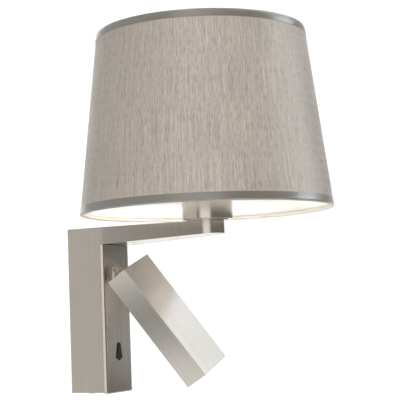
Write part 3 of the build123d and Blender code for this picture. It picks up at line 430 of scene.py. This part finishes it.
def plain_metal(name, colour, roughness, line=0.3 * MM):
    """Zinc, steel and raw aluminium of the hidden pieces."""
    material, tree, shader, coordinates = new_material(name, colour, roughness, 1.0)
    grain = group_node(tree, "grain", Line=line, Length=8 * MM)
    tree.links.new(coordinates.outputs["Object"], grain.inputs["Vector"])
    colours = between(colour, 0.85, 1.12)
    vary(tree, shader, grain.outputs["Tone"], colours, (roughness * 0.8, roughness * 1.3))
    relief(tree, shader, grain.outputs["Height"], 0.01 * MM)
    return material


def moulded(name, colour, roughness, grit=0.02 * MM, coat=0.0):
    """Moulded plastic, rubber, foam or ceramic with a fine surface."""
    material, tree, shader, coordinates = new_material(name, colour, roughness)
    shader.inputs["Coat Weight"].default_value = coat
    drift = group_node(tree, "drift", Patch=14 * MM)
    tree.links.new(coordinates.outputs["Object"], drift.inputs["Vector"])
    colours = between(colour, 0.88, 1.1)
    vary(tree, shader, drift.outputs["Tone"], colours, (roughness * 0.85, roughness * 1.15))
    fine = add(tree, "ShaderNodeTexNoise", in_Scale=3200.0, in_Detail=2.0)
    tree.links.new(coordinates.outputs["Object"], fine.inputs["Vector"])
    relief(tree, shader, fine.outputs["Fac"], grit)
    return material


def slub_fabric(name, colour, contrast, sheen, gloss, specular=1.0):
    """Woven fabric with upright slubs and a silk sheen; the gloss is its roughness."""
    look = bpy.context.scene.shade_settings
    material, tree, shader, coordinates = new_material(name, colour, gloss)
    weave = group_node(
        tree, "weave", Thread=look.thread, Slub_width=look.slub_width, Slub_length=look.slub_length
    )
    tree.links.new(coordinates.outputs["UV"], weave.inputs["Vector"])
    vary(tree, shader, weave.outputs["Tone"], between(colour, 1 - contrast, 1 + contrast))
    matt, silky = gloss * (1 + contrast / 5), gloss * (1 - contrast / 4)
    rough = spread(tree, weave.outputs["Slub"], matt, silky)
    tree.links.new(rough, shader.inputs["Roughness"])
    shader.inputs["Sheen Weight"].default_value = sheen
    shader.inputs["Sheen Roughness"].default_value = 0.45
    shader.inputs["Specular IOR Level"].default_value = specular
    relief(tree, shader, weave.outputs["Height"], 0.22 * MM * contrast, min(0.7, contrast * 2))
    return material


def lining_material():
    """White lining with a satin face and faint fibres."""
    look = bpy.context.scene.shade_settings
    material, tree, shader, coordinates = new_material("white lining", look.lining, 0.42)
    weave = group_node(tree, "weave", Thread=0.4 * MM, Slub_width=1.6 * MM, Slub_length=5 * MM)
    tree.links.new(coordinates.outputs["UV"], weave.inputs["Vector"])
    vary(tree, shader, weave.outputs["Tone"], between(look.lining, 0.97, 1.02))
    relief(tree, shader, weave.outputs["Height"], 0.02 * MM)
    return material


def clear_material(name, colour, roughness, transmission):
    """Opal glass and frosted lens."""
    material, tree, shader, coordinates = new_material(name, colour, roughness)
    shader.inputs["Transmission Weight"].default_value = transmission
    drift = group_node(tree, "drift", Patch=20 * MM)
    tree.links.new(coordinates.outputs["Object"], drift.inputs["Vector"])
    colours = between(colour, 0.96, 1.02)
    vary(tree, shader, drift.outputs["Tone"], colours, (roughness * 0.9, roughness * 1.1))
    return material


# ---------------------------------------------------------------- mesh work
def new_object(name, mesh):
    """A linked object at the origin."""
    made = bpy.data.objects.new(name, mesh)
    bpy.context.scene.collection.objects.link(made)
    return made


def finish_piece(made, nodes, materials):
    """Materials, body, replaced nodes and material slot of one piece."""
    made.data.materials.clear()
    for material in materials:
        made.data.materials.append(material)
    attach(made, BODY_OF[nodes[0]])
    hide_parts(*nodes)
    return made


def softened(piece, node, edge, materials, angle=30.0):
    """A copy of a CAD node with merged faces and broken edges, which stands for that node."""
    mesh = NODES[node].data.copy()
    mesh.name = piece
    sheet = bmesh.new()
    sheet.from_mesh(mesh)
    bmesh.ops.remove_doubles(sheet, verts=sheet.verts, dist=0.002 * MM)
    bmesh.ops.dissolve_limit(
        sheet, angle_limit=math.radians(0.4), verts=sheet.verts, edges=sheet.edges
    )
    for face in sheet.faces:
        face.smooth = True
    sheet.to_mesh(mesh)
    sheet.free()
    if mesh.has_custom_normals:
        mesh.normals_split_custom_set([(0, 0, 0)] * len(mesh.loops))
    made = new_object(piece, mesh)
    mesh.set_sharp_from_angle(angle=math.radians(angle))
    if edge > 0:
        bevel = made.modifiers.new("edges", "BEVEL")
        bevel.width = edge
        bevel.segments = 3
        bevel.limit_method = "ANGLE"
        bevel.angle_limit = math.radians(angle)
        bevel.use_clamp_overlap = True
        bevel.material = 1 if len(materials) > 1 else -1
        normals = made.modifiers.new("normals", "WEIGHTED_NORMAL")
        normals.keep_sharp = False
    return finish_piece(made, [node], materials)


def lathe(name, profile, segments, centre, closed=False):
    """Surface of revolution about an upright axis with a UV map in metres, from (radius, z) points.

    U runs along the middle radius and V along the profile; the UV seam faces the wall.
    """
    points = list(profile)
    rows = len(points)
    middle = sum(r for r, _ in points) / rows
    run = [0.0]
    for (r0, z0), (r1, z1) in zip(points, points[1:]):
        run.append(run[-1] + math.hypot(r1 - r0, z1 - z0))
    verts, faces, uvs = [], [], []
    for k in range(segments):
        angle = math.pi / 2 + math.tau * k / segments
        for r, z in points:
            verts.append((centre.x + r * math.cos(angle), centre.y + r * math.sin(angle), z))
    bands = rows if closed else rows - 1
    lap = math.hypot(points[0][0] - points[-1][0], points[0][1] - points[-1][1])
    for k in range(segments):
        after = (k + 1) % segments
        u0, u1 = (middle * math.tau * n / segments for n in (k, k + 1))
        for j in range(bands):
            up = (j + 1) % rows
            v0, v1 = run[j], run[j + 1] if j + 1 < rows else run[j] + lap
            faces.append((k * rows + j, after * rows + j, after * rows + up, k * rows + up))
            uvs.extend([(u0, v0), (u1, v0), (u1, v1), (u0, v1)])
    mesh = bpy.data.meshes.new(name)
    mesh.from_pydata(verts, [], faces)
    layer = mesh.uv_layers.new(name="UVMap")
    for corner, uv in zip(layer.data, uvs):
        corner.uv = uv
    for polygon in mesh.polygons:
        polygon.use_smooth = True
    mesh.update()
    return new_object(name, mesh)


def face_out(made):
    """Turns a closed mesh's faces outward."""
    work = bmesh.new()
    work.from_mesh(made.data)
    bmesh.ops.recalc_face_normals(work, faces=work.faces)
    work.to_mesh(made.data)
    work.free()


# ---------------------------------------------------------------- places on the shade
def shade_radius(z):
    """Outer radius of the fabric at height z, from the skin's foot and the upper tape's foot."""
    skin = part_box("shade_skin")
    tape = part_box("shade_trim_top")
    foot = (skin[1][0] - skin[0][0]) / 2
    head = (tape[1][0] - tape[0][0]) / 2 - TAPE_T
    return foot + (head - foot) * (z - skin[0][2]) / (tape[0][2] - skin[0][2])


def steps(low, high, count):
    """Evenly spaced values from low to high."""
    return [low + (high - low) * k / (count - 1) for k in range(count)]


def lean_rims(cover):
    """Leans the upright rims of the cover inward, most at its front face."""
    low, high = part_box("front_cover")
    reach = high[0] - COVER_BEND
    back = low[1] + COVER_DEPTH
    for vertex in cover.data.vertices:
        if abs(vertex.co.x) > reach and vertex.co.y < back:
            share = (back - vertex.co.y) / COVER_DEPTH
            vertex.co.x -= math.copysign(COVER_LEAN * share, vertex.co.x)
    cover.data.update()


def give_wall(made, thickness):
    """Turns an open sheet to face away from the axis and gives it its thickness inward."""
    first = made.data.polygons[0]
    away = first.center - SHADE_AXIS
    away.z = 0
    if first.normal.dot(away) < 0:
        made.data.flip_normals()
    wall = made.modifiers.new("thickness", "SOLIDIFY")
    wall.thickness = thickness
    wall.offset = -1


# ---------------------------------------------------------------- operators
class WALLLIGHT_OT_box_and_arm(bpy.types.Operator):
    """Back box with the arm, the arm's closing plate and the front cover"""
    bl_idname = "walllight.box_and_arm"
    bl_label = "Box, arm and cover"

    def execute(self, context):
        edge = context.scene.metal_settings.edge
        nickel = satin_nickel("nickel brushed upright")
        along = satin_nickel("nickel brushed outward", turn=(math.pi / 2, 0, 0))
        # the edge material is brighter than the faces: a painted highlight on the bevels
        rim = edge_highlight_material()
        softened("box_and_arm", "body_shell", edge, [nickel, rim])
        softened("arm_closing_plate", "closing_plate", edge / 2, [along, rim])
        soft = satin_nickel("nickel cover", gloss=1.45, contrast=0.1)
        cover = softened("box_cover", "front_cover", 0.0, [soft], angle=40)
        lean_rims(cover)
        screw = plain_metal("nickel plated screw", (0.62, 0.60, 0.57), 0.25)
        for node in ("closer_screws", "cover_screw", "lock_screw"):
            softened(f"{node}_finished", node, 0.12 * MM, [screw])
        return {"FINISHED"}


class WALLLIGHT_OT_cup(bpy.types.Operator):
    """Turned cup on its spacer"""
    bl_idname = "walllight.cup"
    bl_label = "Cup"

    def execute(self, context):
        edge = context.scene.metal_settings.edge
        low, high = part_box("holder_cup")
        radius = (high[0] - low[0]) / 2
        rings = [((v.co - SHADE_AXIS).xy.length, v.co.z) for v in NODES["holder_cup"].data.vertices]
        bore = min(r for r, _ in rings)
        floor = max(z for r, z in rings if r < bore + edge)
        inside = min(r for r, z in rings if z > floor + edge)
        half = (radius - inside) / 2
        z0, z1 = low[2], high[2]
        bend = [
            (radius - edge + edge * math.sin(a), z0 + edge - edge * math.cos(a))
            for a in steps(0, math.pi / 2, 5)
        ]
        lip = [
            (radius - half + half * math.cos(a), z1 - half + half * math.sin(a))
            for a in steps(0, math.pi, 7)
        ]
        profile = [(bore, z0), *bend, *lip, (inside, floor), (bore, floor)]
        made = lathe("cup", profile, 160, SHADE_AXIS, closed=True)
        face_out(made)
        made.data.set_sharp_from_angle(angle=math.radians(40))
        nickel = satin_nickel("nickel turned", turned=True, gloss=0.95)
        finish_piece(made, ["holder_cup"], [nickel])
        softened("spacer", "cup_spacer", 0.2 * MM, [satin_nickel("nickel spacer")])
        return {"FINISHED"}


class WALLLIGHT_OT_shade_fabric(bpy.types.Operator):
    """Outer fabric of the shade, stretched round the cone, with its UV seam at the wall side"""
    bl_idname = "walllight.shade_fabric"
    bl_label = "Shade fabric"

    def execute(self, context):
        look = context.scene.shade_settings
        low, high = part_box("shade_skin")
        profile = [(shade_radius(z) - FABRIC_CLEAR, z) for z in steps(low[2], high[2], 24)]
        made = lathe("shade_fabric", profile, look.segments, SHADE_AXIS)
        give_wall(made, FABRIC_T)
        fabric = slub_fabric("slub fabric", look.fabric, contrast=0.70, sheen=0.05, gloss=0.32)
        finish_piece(made, ["shade_skin"], [fabric])
        return {"FINISHED"}


class WALLLIGHT_OT_shade_lining(bpy.types.Operator):
    """White lining bonded inside the fabric"""
    bl_idname = "walllight.shade_lining"
    bl_label = "Shade lining"

    def execute(self, context):
        look = context.scene.shade_settings
        low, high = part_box("shade_lining")
        profile = [(shade_radius(z) - LINING_INSET, z) for z in steps(low[2], high[2], 12)]
        made = lathe("shade_lining_sheet", profile, look.segments, SHADE_AXIS)
        give_wall(made, LINING_T)
        finish_piece(made, ["shade_lining"], [lining_material()])
        return {"FINISHED"}


def fold_radius(edge_z):
    """Radius of the middle of the tape's fold at a rim of the shade."""
    return shade_radius(edge_z) + TAPE_T - TAPE_FOLD


def tape_profile(edge_z, inward):
    """Closed section of the tape: outer band, round the wire, up inside and back to the lining."""
    middle = fold_radius(edge_z)
    outer, inner = [], []
    for up in steps(TAPE_BAND, TAPE_SAG, 4):
        z = edge_z + inward * up
        outer.append((shade_radius(z) + TAPE_T, z))
        inner.append((shade_radius(z) + FABRIC_CLEAR, z))
    for line, wall in ((outer, 0.0), (inner, TAPE_T)):
        wide, deep = TAPE_FOLD - wall, TAPE_SAG - wall
        for a in steps(0, math.pi, 16)[1:]:
            up = TAPE_SAG - deep * math.sin(a)
            line.append((middle + wide * math.cos(a), edge_z + inward * up))
        for a in steps(0, math.pi / 2, 6):
            up = TAPE_SAG + TAPE_RISE + deep / 2 * math.sin(a)
            line.append((middle - wide * math.cos(a), edge_z + inward * up))
    return outer + inner[::-1]


class WALLLIGHT_OT_shade_tape(bpy.types.Operator):
    """Tapes folded round the shade's upper and lower edge"""
    bl_idname = "walllight.shade_tape"
    bl_label = "Shade tapes"

    def execute(self, context):
        look = context.scene.shade_settings
        tape = slub_fabric("folded tape", look.tape, contrast=0.06, sheen=0.1, gloss=0.26)
        shader = tape.node_tree.nodes["Principled BSDF"]
        shader.inputs["Coat Weight"].default_value = 1.0
        shader.inputs["Coat Roughness"].default_value = 0.3
        # The fold turned inside is the same tape, coloured much paler as painted light where the lit
        # lining brightens it.
        turned = slub_fabric(
            "tape turned in with painted light", (0.62, 0.57, 0.49), contrast=0.02, sheen=0.0, gloss=0.6, specular=0.2
        )
        for node, piece, inward in (
            ("shade_trim_top", "tape_upper", -1), ("shade_trim_bottom", "tape_lower", 1)
        ):
            low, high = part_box(node)
            edge_z = high[2] if inward < 0 else low[2]
            made = lathe(piece, tape_profile(edge_z, inward), look.segments, SHADE_AXIS, closed=True)
            face_out(made)
            made.data.set_sharp_from_angle(angle=math.radians(50))
            finish_piece(made, [node], [tape, turned])
            # Faces inside the fold's crest take the paler copy of the tape, the painted light.
            crest = fold_radius(edge_z)
            for polygon in made.data.polygons:
                polygon.material_index = int((polygon.center - SHADE_AXIS).xy.length < crest)
        return {"FINISHED"}


class WALLLIGHT_OT_shade_frame(bpy.types.Operator):
    """Wires and fitter ring of the shade, ring nuts and lampholder"""
    bl_idname = "walllight.shade_frame"
    bl_label = "Shade frame and lampholder"

    def execute(self, context):
        wire = moulded("white powder coat", (0.86, 0.86, 0.84), 0.4)
        for node in ("spider_ring", "spider_arms", "shade_wire_top", "shade_wire_bottom"):
            softened(f"{node}_coated", node, 0.0, [wire], angle=40)
        holder = moulded("lampholder plastic", (0.80, 0.79, 0.75), 0.38)
        softened("lampholder_moulding", "lampholder", 0.15 * MM, [holder])
        softened("grip_rings", "ring_nuts", 0.25 * MM, [holder])
        ceramic = moulded("contact ceramic", (0.85, 0.84, 0.80), 0.6)
        softened("contact_insert", "centre_contact", 0.1 * MM, [ceramic])
        sleeve = plain_metal("sleeve metal", (0.75, 0.72, 0.66), 0.3)
        softened("thread_sleeve", "holder_sleeve", 0.0, [sleeve])
        return {"FINISHED"}


class WALLLIGHT_OT_bulb(bpy.types.Operator):
    """Opal bulb with its cap"""
    bl_idname = "walllight.bulb"
    bl_label = "Bulb"

    def execute(self, context):
        glass = clear_material("opal globe", (0.93, 0.925, 0.90), 0.28, 0.0)
        softened("opal_bulb", "bulb_globe", 0.0, [glass], angle=40)
        cap = plain_metal("bulb cap metal", (0.78, 0.77, 0.74), 0.22)
        softened("bulb_screw_cap", "bulb_cap", 0.15 * MM, [cap])
        return {"FINISHED"}


def head_euler():
    """Orientation of the reading head as modelled: swivel about Y after tilt about X."""
    swivel = Matrix.Rotation(HEAD_SWIVEL, 3, "Y")
    tilt = Matrix.Rotation(HEAD_TILT, 3, "X")
    return (swivel @ tilt).to_euler()


class WALLLIGHT_OT_reading_head(bpy.types.Operator):
    """Housing, end cap and hinge of the reading head"""
    bl_idname = "walllight.reading_head"
    bl_label = "Reading head"

    def execute(self, context):
        edge = context.scene.metal_settings.edge
        turn = tuple(head_euler())
        nickel = satin_nickel("nickel brushed along the head", turn=turn)
        # the edge material is brighter than the faces: a painted highlight on the bevels
        rim = edge_highlight_material()
        for piece, node, share in (
            ("head_shell", "head_housing", 0.8), ("head_end_cap", "head_cap", 0.5),
            ("socket_square", "hinge_socket", 0.5), ("swivel_stem", "swivel_post", 0.5),
        ):
            softened(piece, node, edge * share, [nickel, rim])
        steel = plain_metal("pin steel", (0.66, 0.66, 0.66), 0.25)
        softened("hinge_pin", "tilt_pin", 0.15 * MM, [steel])
        nylon = moulded("nylon", (0.80, 0.79, 0.74), 0.5)
        softened("post_washer", "swivel_washer", 0.0, [nylon])
        softened("pin_washers", "tilt_washers", 0.0, [nylon])
        return {"FINISHED"}


def prism_tree():
    """Geometry Nodes: a grid of small flattened domes for the lens plate, with the given material."""
    tree, source, sink = new_group(
        "prism lens",
        [("Width", "NodeSocketFloat", PRISM_FIELD[0]), ("Length", "NodeSocketFloat", PRISM_FIELD[1]),
         ("Pitch", "NodeSocketFloat", 2.4 * MM), ("Height", "NodeSocketFloat", PRISM_H),
         ("Material", "NodeSocketMaterial", None)],
        [("Geometry", "NodeSocketGeometry")],
        kind="GeometryNodeTree",
    )
    grid = tree.nodes.new("GeometryNodeMeshGrid")
    for label, axis in (("Width", "X"), ("Length", "Y")):
        room = math_node(tree, "SUBTRACT", source.outputs[label], source.outputs["Pitch"])
        count = math_node(tree, "DIVIDE", room, source.outputs["Pitch"])
        points = math_node(tree, "ADD", math_node(tree, "FLOOR", count), 1.0)
        tree.links.new(room, grid.inputs[f"Size {axis}"])
        tree.links.new(points, grid.inputs[f"Vertices {axis}"])
    dome = add(tree, "GeometryNodeMeshUVSphere", in_Segments=10, in_Rings=6)
    radius = math_node(tree, "MULTIPLY", source.outputs["Pitch"], 0.5)
    tree.links.new(radius, dome.inputs["Radius"])
    flat = add(tree, "ShaderNodeCombineXYZ", in_X=1.0, in_Y=1.0)
    squeeze = math_node(tree, "DIVIDE", source.outputs["Height"], radius)
    tree.links.new(squeeze, flat.inputs["Z"])
    place = tree.nodes.new("GeometryNodeInstanceOnPoints")
    tree.links.new(grid.outputs["Mesh"], place.inputs["Points"])
    tree.links.new(dome.outputs["Mesh"], place.inputs["Instance"])
    tree.links.new(flat.outputs[0], place.inputs["Scale"])
    real = tree.nodes.new("GeometryNodeRealizeInstances")
    tree.links.new(place.outputs[0], real.inputs[0])
    paint = tree.nodes.new("GeometryNodeSetMaterial")
    tree.links.new(real.outputs[0], paint.inputs["Geometry"])
    tree.links.new(source.outputs["Material"], paint.inputs["Material"])
    tree.links.new(paint.outputs[0], sink.inputs["Geometry"])
    return tree


def grown(name, tree, values):
    """Runs a node tree with its named inputs and returns the result as a plain object."""
    seed = new_object(name, bpy.data.meshes.new(name))
    modifier = seed.modifiers.new("growth", "NODES")
    modifier.node_group = tree
    for item in tree.interface.items_tree:
        if item.in_out == "INPUT" and item.name in values:
            modifier[item.identifier] = values[item.name]
    graph = bpy.context.evaluated_depsgraph_get()
    graph.update()
    mesh = bpy.data.meshes.new_from_object(seed.evaluated_get(graph), depsgraph=graph)
    seed.modifiers.clear()
    seed.data = mesh
    return seed


class WALLLIGHT_OT_reading_lens(bpy.types.Operator):
    """Frosted prism lens and bezel of the reading head"""
    bl_idname = "walllight.reading_lens"
    bl_label = "Reading lens"

    def execute(self, context):
        lens = clear_material("frosted lens", (0.93, 0.94, 0.94), 0.35, 0.55)
        softened("lens_plate", "led_lens", 0.2 * MM, [lens])
        basis = head_euler().to_matrix()
        corners = [basis.inverted() @ v.co for v in NODES["led_lens"].data.vertices]
        low, high = (Vector([pick(c[k] for c in corners) for k in range(3)]) for pick in (min, max))
        dots = grown("lens_prisms", prism_tree(), {
            "Width": PRISM_FIELD[0], "Length": PRISM_FIELD[1], "Height": PRISM_H,
            "Pitch": context.scene.lens_settings.pitch, "Material": lens,
        })
        upright = Matrix(((1, 0, 0), (0, 0, 1), (0, 1, 0)))
        middle = (low + high) / 2
        middle.y = high.y
        place = Matrix.Translation(basis @ middle) @ (basis @ upright).to_4x4()
        dots.data.transform(place)
        face_out(dots)
        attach(dots, "head")
        bezel = moulded("bezel plastic", (0.05, 0.05, 0.05), 0.4)
        softened("lens_frame", "lens_bezel", 0.15 * MM, [bezel])
        return {"FINISHED"}


class WALLLIGHT_OT_switch(bpy.types.Operator):
    """Black teardrop key of the switch and its body"""
    bl_idname = "walllight.switch"
    bl_label = "Switch"

    def execute(self, context):
        key = moulded("black key", (0.003, 0.003, 0.003), 0.22, 0.004 * MM)
        softened("teardrop_key", "switch_key", 0.3 * MM, [key])
        body = moulded("switch moulding", (0.02, 0.02, 0.02), 0.5)
        softened("switch_case", "switch_body", 0.2 * MM, [body])
        return {"FINISHED"}


class WALLLIGHT_OT_insides(bpy.types.Operator):
    """Materials of the pieces inside the box, the arm and the head"""
    bl_idname = "walllight.insides"
    bl_label = "Insides"

    def execute(self, context):
        zinc = plain_metal("zinc plate", (0.66, 0.67, 0.69), 0.35, 1.2 * MM)
        bare = plain_metal("raw aluminium", (0.72, 0.72, 0.73), 0.4)
        white = moulded("white moulding", (0.82, 0.82, 0.80), 0.45)
        finishes = {
            "wall_plate": zinc, "earth_lug": zinc, "earth_screw": zinc, "nipple": zinc,
            "nipple_nut": zinc, "swivel_spring": zinc, "swivel_nut": zinc, "switch_terminals": zinc,
            "entry_grommet": moulded("black rubber", (0.02, 0.02, 0.02), 0.7, 0.05 * MM),
            "mounting_pads": moulded("foam", (0.05, 0.05, 0.055), 0.9, 0.2 * MM),
            "led_driver": white, "terminal_block": white, "led_board": white,
            "lamp_leads": moulded("lead sleeve", (0.70, 0.68, 0.62), 0.6),
            "hinge_block": bare, "heat_sink": bare,
            "led_chips": moulded("phosphor", (0.85, 0.68, 0.12), 0.4),
        }
        for node, material in finishes.items():
            mesh = NODES[node].data
            mesh.materials.clear()
            mesh.materials.append(material)
        return {"FINISHED"}


# ---------------------------------------------------------------- stage
# Softboxes round the studio: heading and height of the middle, half width, half height, soft edge
# (all in degrees), strength.
SOFTBOXES = {
    "left wall": (118, 4, 40, 40, 5, 0.50),
    "strip beside the camera": (196, 5, 24, 40, 9, 1.02),
    "behind": (33, 0, 33, 45, 9, 0.97),
    "key": (322, 46, 26, 18, 8, 1.50),
    "foot of the key": (311, 18, 14, 8, 5, 3.40),
    "over the camera": (205, 56, 80, 18, 12, 0.50),
    "overhead": (0, 90, 180, 26, 12, 0.90),
}
# Low bands that light matt surfaces only, in the same order.
LOW_BANDS = ((232, -5, 84, 3, 2, 29.0), (40, -5, 60, 3, 2, 16.0))
ROOM = 0.17
WARM, COOL = (1.0, 0.99, 0.97, 1), (0.94, 1.01, 1.08, 1)
WHITE = (1, 1, 1, 1)
BACKDROP = 1.1

FLOOR_HALF = 0.85
FLOOR_SEEN = 0.97
FLOOR_BOUNCE = 0.9
RING_MIDDLE = 0.54              # radius of the dim ring that the metal mirrors in the floor
RING_CORE, RING_REACH = 0.02, 0.17
RING_GLOW, FLOOR_GLOW = 0.30, 1.05

CARD_SIZE = (0.26, 0.12)
CARD_PLACE, CARD_TARGET = (0.36, -0.28, -0.035), (0.0, -0.04, -0.02)
CARD_LIGHT = 0.022


def softbox(tree, direction, heading, height, half_width, half_height, blur, strength):
    """Light of one softbox in each direction."""
    def fall(angle, half):
        edge = add(tree, "ShaderNodeMapRange", interpolation_type="SMOOTHSTEP")
        edge.inputs[1].default_value = math.radians(half + blur)
        edge.inputs[2].default_value = math.radians(max(half - blur, 0))
        tree.links.new(angle, edge.inputs[0])
        return edge.outputs[0]

    flat = add(tree, "ShaderNodeVectorMath", operation="MULTIPLY")
    flat.inputs[1].default_value = (1, 1, 0)
    tree.links.new(direction, flat.inputs[0])
    unit = add(tree, "ShaderNodeVectorMath", operation="NORMALIZE")
    tree.links.new(flat.outputs[0], unit.inputs[0])
    aim = add(tree, "ShaderNodeVectorMath", operation="DOT_PRODUCT")
    aim.inputs[1].default_value = (math.cos(math.radians(heading)), math.sin(math.radians(heading)), 0)
    tree.links.new(unit.outputs[0], aim.inputs[0])
    sideways = math_node(tree, "ARCCOSINE", math_node(tree, "MINIMUM", aim.outputs["Value"], 1.0))
    parts = add(tree, "ShaderNodeSeparateXYZ")
    tree.links.new(direction, parts.inputs[0])
    raised = math_node(tree, "ARCSINE", parts.outputs["Z"])
    upward = math_node(tree, "ABSOLUTE", math_node(tree, "SUBTRACT", raised, math.radians(height)))
    light = fall(upward, half_height)
    if half_width < 180:
        light = math_node(tree, "MULTIPLY", light, fall(sideways, half_width))
    return math_node(tree, "MULTIPLY", light, strength)


def seen_or_lit(tree, seen, lit, ray="Is Camera Ray"):
    """One shader for the named kind of ray, another for every other ray."""
    path = tree.nodes.new("ShaderNodeLightPath")
    mix = tree.nodes.new("ShaderNodeMixShader")
    tree.links.new(path.outputs[ray], mix.inputs[0])
    tree.links.new(lit, mix.inputs[1])
    tree.links.new(seen, mix.inputs[2])
    return mix.outputs[0]


def studio_world():
    """Dim room with softboxes round the wall light; the camera sees plain white."""
    world = bpy.data.worlds.new("studio")
    world.use_nodes = True
    tree = world.node_tree
    tree.nodes.clear()
    direction = tree.nodes.new("ShaderNodeTexCoord").outputs["Generated"]
    sums = {WARM: ROOM, COOL: 0.0}
    for name, values in SOFTBOXES.items():
        colour = COOL if "key" in name else WARM
        sums[colour] = math_node(tree, "ADD", softbox(tree, direction, *values), sums[colour])
    matt = tree.nodes.new("ShaderNodeLightPath").outputs["Is Diffuse Ray"]
    for values in LOW_BANDS:
        band = math_node(tree, "MULTIPLY", softbox(tree, direction, *values), matt)
        sums[WARM] = math_node(tree, "ADD", sums[WARM], band)
    both = tree.nodes.new("ShaderNodeAddShader")
    for index, (colour, strength) in enumerate(sums.items()):
        lit = add(tree, "ShaderNodeBackground", in_Color=colour)
        tree.links.new(strength, lit.inputs["Strength"])
        tree.links.new(lit.outputs[0], both.inputs[index])
    white = add(tree, "ShaderNodeBackground", in_Strength=BACKDROP, in_Color=WHITE)
    output = tree.nodes.new("ShaderNodeOutputWorld")
    tree.links.new(seen_or_lit(tree, white.outputs[0], both.outputs[0]), output.inputs["Surface"])
    return world


def floor_material():
    """Pale floor: plain to the camera, dimmer in a ring to the metal that mirrors it."""
    material, tree, shader, coordinates = new_material("pale floor", (0.80, 0.79, 0.77), 0.9)
    flat = add(tree, "ShaderNodeVectorMath", operation="MULTIPLY")
    flat.inputs[1].default_value = (1, 1, 0)
    tree.links.new(coordinates.outputs["Object"], flat.inputs[0])
    reach = add(tree, "ShaderNodeVectorMath", operation="LENGTH")
    tree.links.new(flat.outputs[0], reach.inputs[0])
    past_ring = math_node(tree, "SUBTRACT", reach.outputs["Value"], RING_MIDDLE)
    ring = add(
        tree, "ShaderNodeMapRange", interpolation_type="SMOOTHSTEP",
        in_1=RING_CORE, in_2=RING_REACH, in_3=RING_GLOW, in_4=FLOOR_GLOW,
    )
    tree.links.new(math_node(tree, "ABSOLUTE", past_ring), ring.inputs[0])
    glow = add(tree, "ShaderNodeEmission", in_Color=(0.97, 1.0, 1.02, 1))
    tree.links.new(ring.outputs[0], glow.inputs["Strength"])
    white = add(tree, "ShaderNodeEmission", in_Strength=FLOOR_SEEN, in_Color=WHITE)
    bounce = add(tree, "ShaderNodeEmission", in_Strength=FLOOR_BOUNCE)
    lit = seen_or_lit(tree, bounce.outputs[0], glow.outputs[0], "Is Diffuse Ray")
    output = tree.nodes["Material Output"]
    tree.links.new(seen_or_lit(tree, white.outputs[0], lit), output.inputs["Surface"])
    tree.nodes.remove(shader)
    return material


def place_light(light, place, target):
    """Stands a light at its place, facing its target, unseen by the camera."""
    made = new_object(light.name, light)
    made.location = place
    made.rotation_euler = (Vector(target) - Vector(place)).to_track_quat("-Z", "Y").to_euler()
    made.visible_camera = False
    return made


class WALLLIGHT_OT_stage(bpy.types.Operator):
    """Pale floor, soft studio light and the camera"""
    bl_idname = "walllight.stage"
    bl_label = "Stage"

    def execute(self, context):
        look = context.scene.stage_settings
        scene = context.scene
        scene.world = studio_world()
        scene.view_settings.view_transform = "Standard"
        mesh = bpy.data.meshes.new("floor")
        signs = ((-1, -1), (1, -1), (1, 1), (-1, 1))
        corners = [(x * FLOOR_HALF, y * FLOOR_HALF, look.floor) for x, y in signs]
        mesh.from_pydata(corners, [], [(0, 1, 2, 3)])
        floor = new_object("floor", mesh)
        mesh.materials.append(floor_material())
        card = bpy.data.lights.new("right card", "AREA")
        card.shape = "RECTANGLE"
        card.size, card.size_y = CARD_SIZE
        card.energy = CARD_LIGHT
        place_light(card, CARD_PLACE, CARD_TARGET)
        camera = bpy.data.cameras.new("camera")
        camera.lens = look.lens
        camera.sensor_width = 36
        camera.clip_start = 0.05
        made = new_object("camera", camera)
        aim = Euler((math.pi / 2 + look.pitch, 0, look.heading)).to_matrix()
        made.location = look.place
        made.rotation_euler = (aim @ Matrix.Rotation(look.roll, 3, "Z")).to_euler()
        scene.camera = made
        return {"FINISHED"}


OPERATORS = (
    WALLLIGHT_OT_box_and_arm,
    WALLLIGHT_OT_cup,
    WALLLIGHT_OT_shade_fabric,
    WALLLIGHT_OT_shade_lining,
    WALLLIGHT_OT_shade_tape,
    WALLLIGHT_OT_shade_frame,
    WALLLIGHT_OT_bulb,
    WALLLIGHT_OT_reading_head,
    WALLLIGHT_OT_reading_lens,
    WALLLIGHT_OT_switch,
    WALLLIGHT_OT_insides,
    WALLLIGHT_OT_stage,
)
SETTINGS = {
    "metal_settings": MetalSettings,
    "shade_settings": ShadeSettings,
    "lens_settings": LensSettings,
    "stage_settings": StageSettings,
}


class WALLLIGHT_PT_panel(bpy.types.Panel):
    """Sidebar panel with the settings and the pieces"""
    bl_idname = "WALLLIGHT_PT_panel"
    bl_label = "Wall light"
    bl_space_type = "VIEW_3D"
    bl_region_type = "UI"
    bl_category = "Wall light"

    def draw(self, context):
        for name, group in SETTINGS.items():
            column = self.layout.box().column()
            for setting in group.__annotations__:
                column.prop(getattr(context.scene, name), setting)
        for operator in OPERATORS:
            self.layout.operator(operator.bl_idname)


def register():
    for group in SETTINGS.values():
        bpy.utils.register_class(group)
    for name, group in SETTINGS.items():
        setattr(bpy.types.Scene, name, PointerProperty(type=group))
    for operator in OPERATORS:
        bpy.utils.register_class(operator)
    bpy.utils.register_class(WALLLIGHT_PT_panel)


def unregister():
    bpy.utils.unregister_class(WALLLIGHT_PT_panel)
    for operator in reversed(OPERATORS):
        bpy.utils.unregister_class(operator)
    for name in SETTINGS:
        delattr(bpy.types.Scene, name)
    for group in reversed(SETTINGS.values()):
        bpy.utils.unregister_class(group)


def main():
    """Registers the add-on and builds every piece."""
    register()
    for operator in OPERATORS:
        area, name = operator.bl_idname.split(".")
        getattr(getattr(bpy.ops, area), name)()


if __name__ == "__main__":
    main()
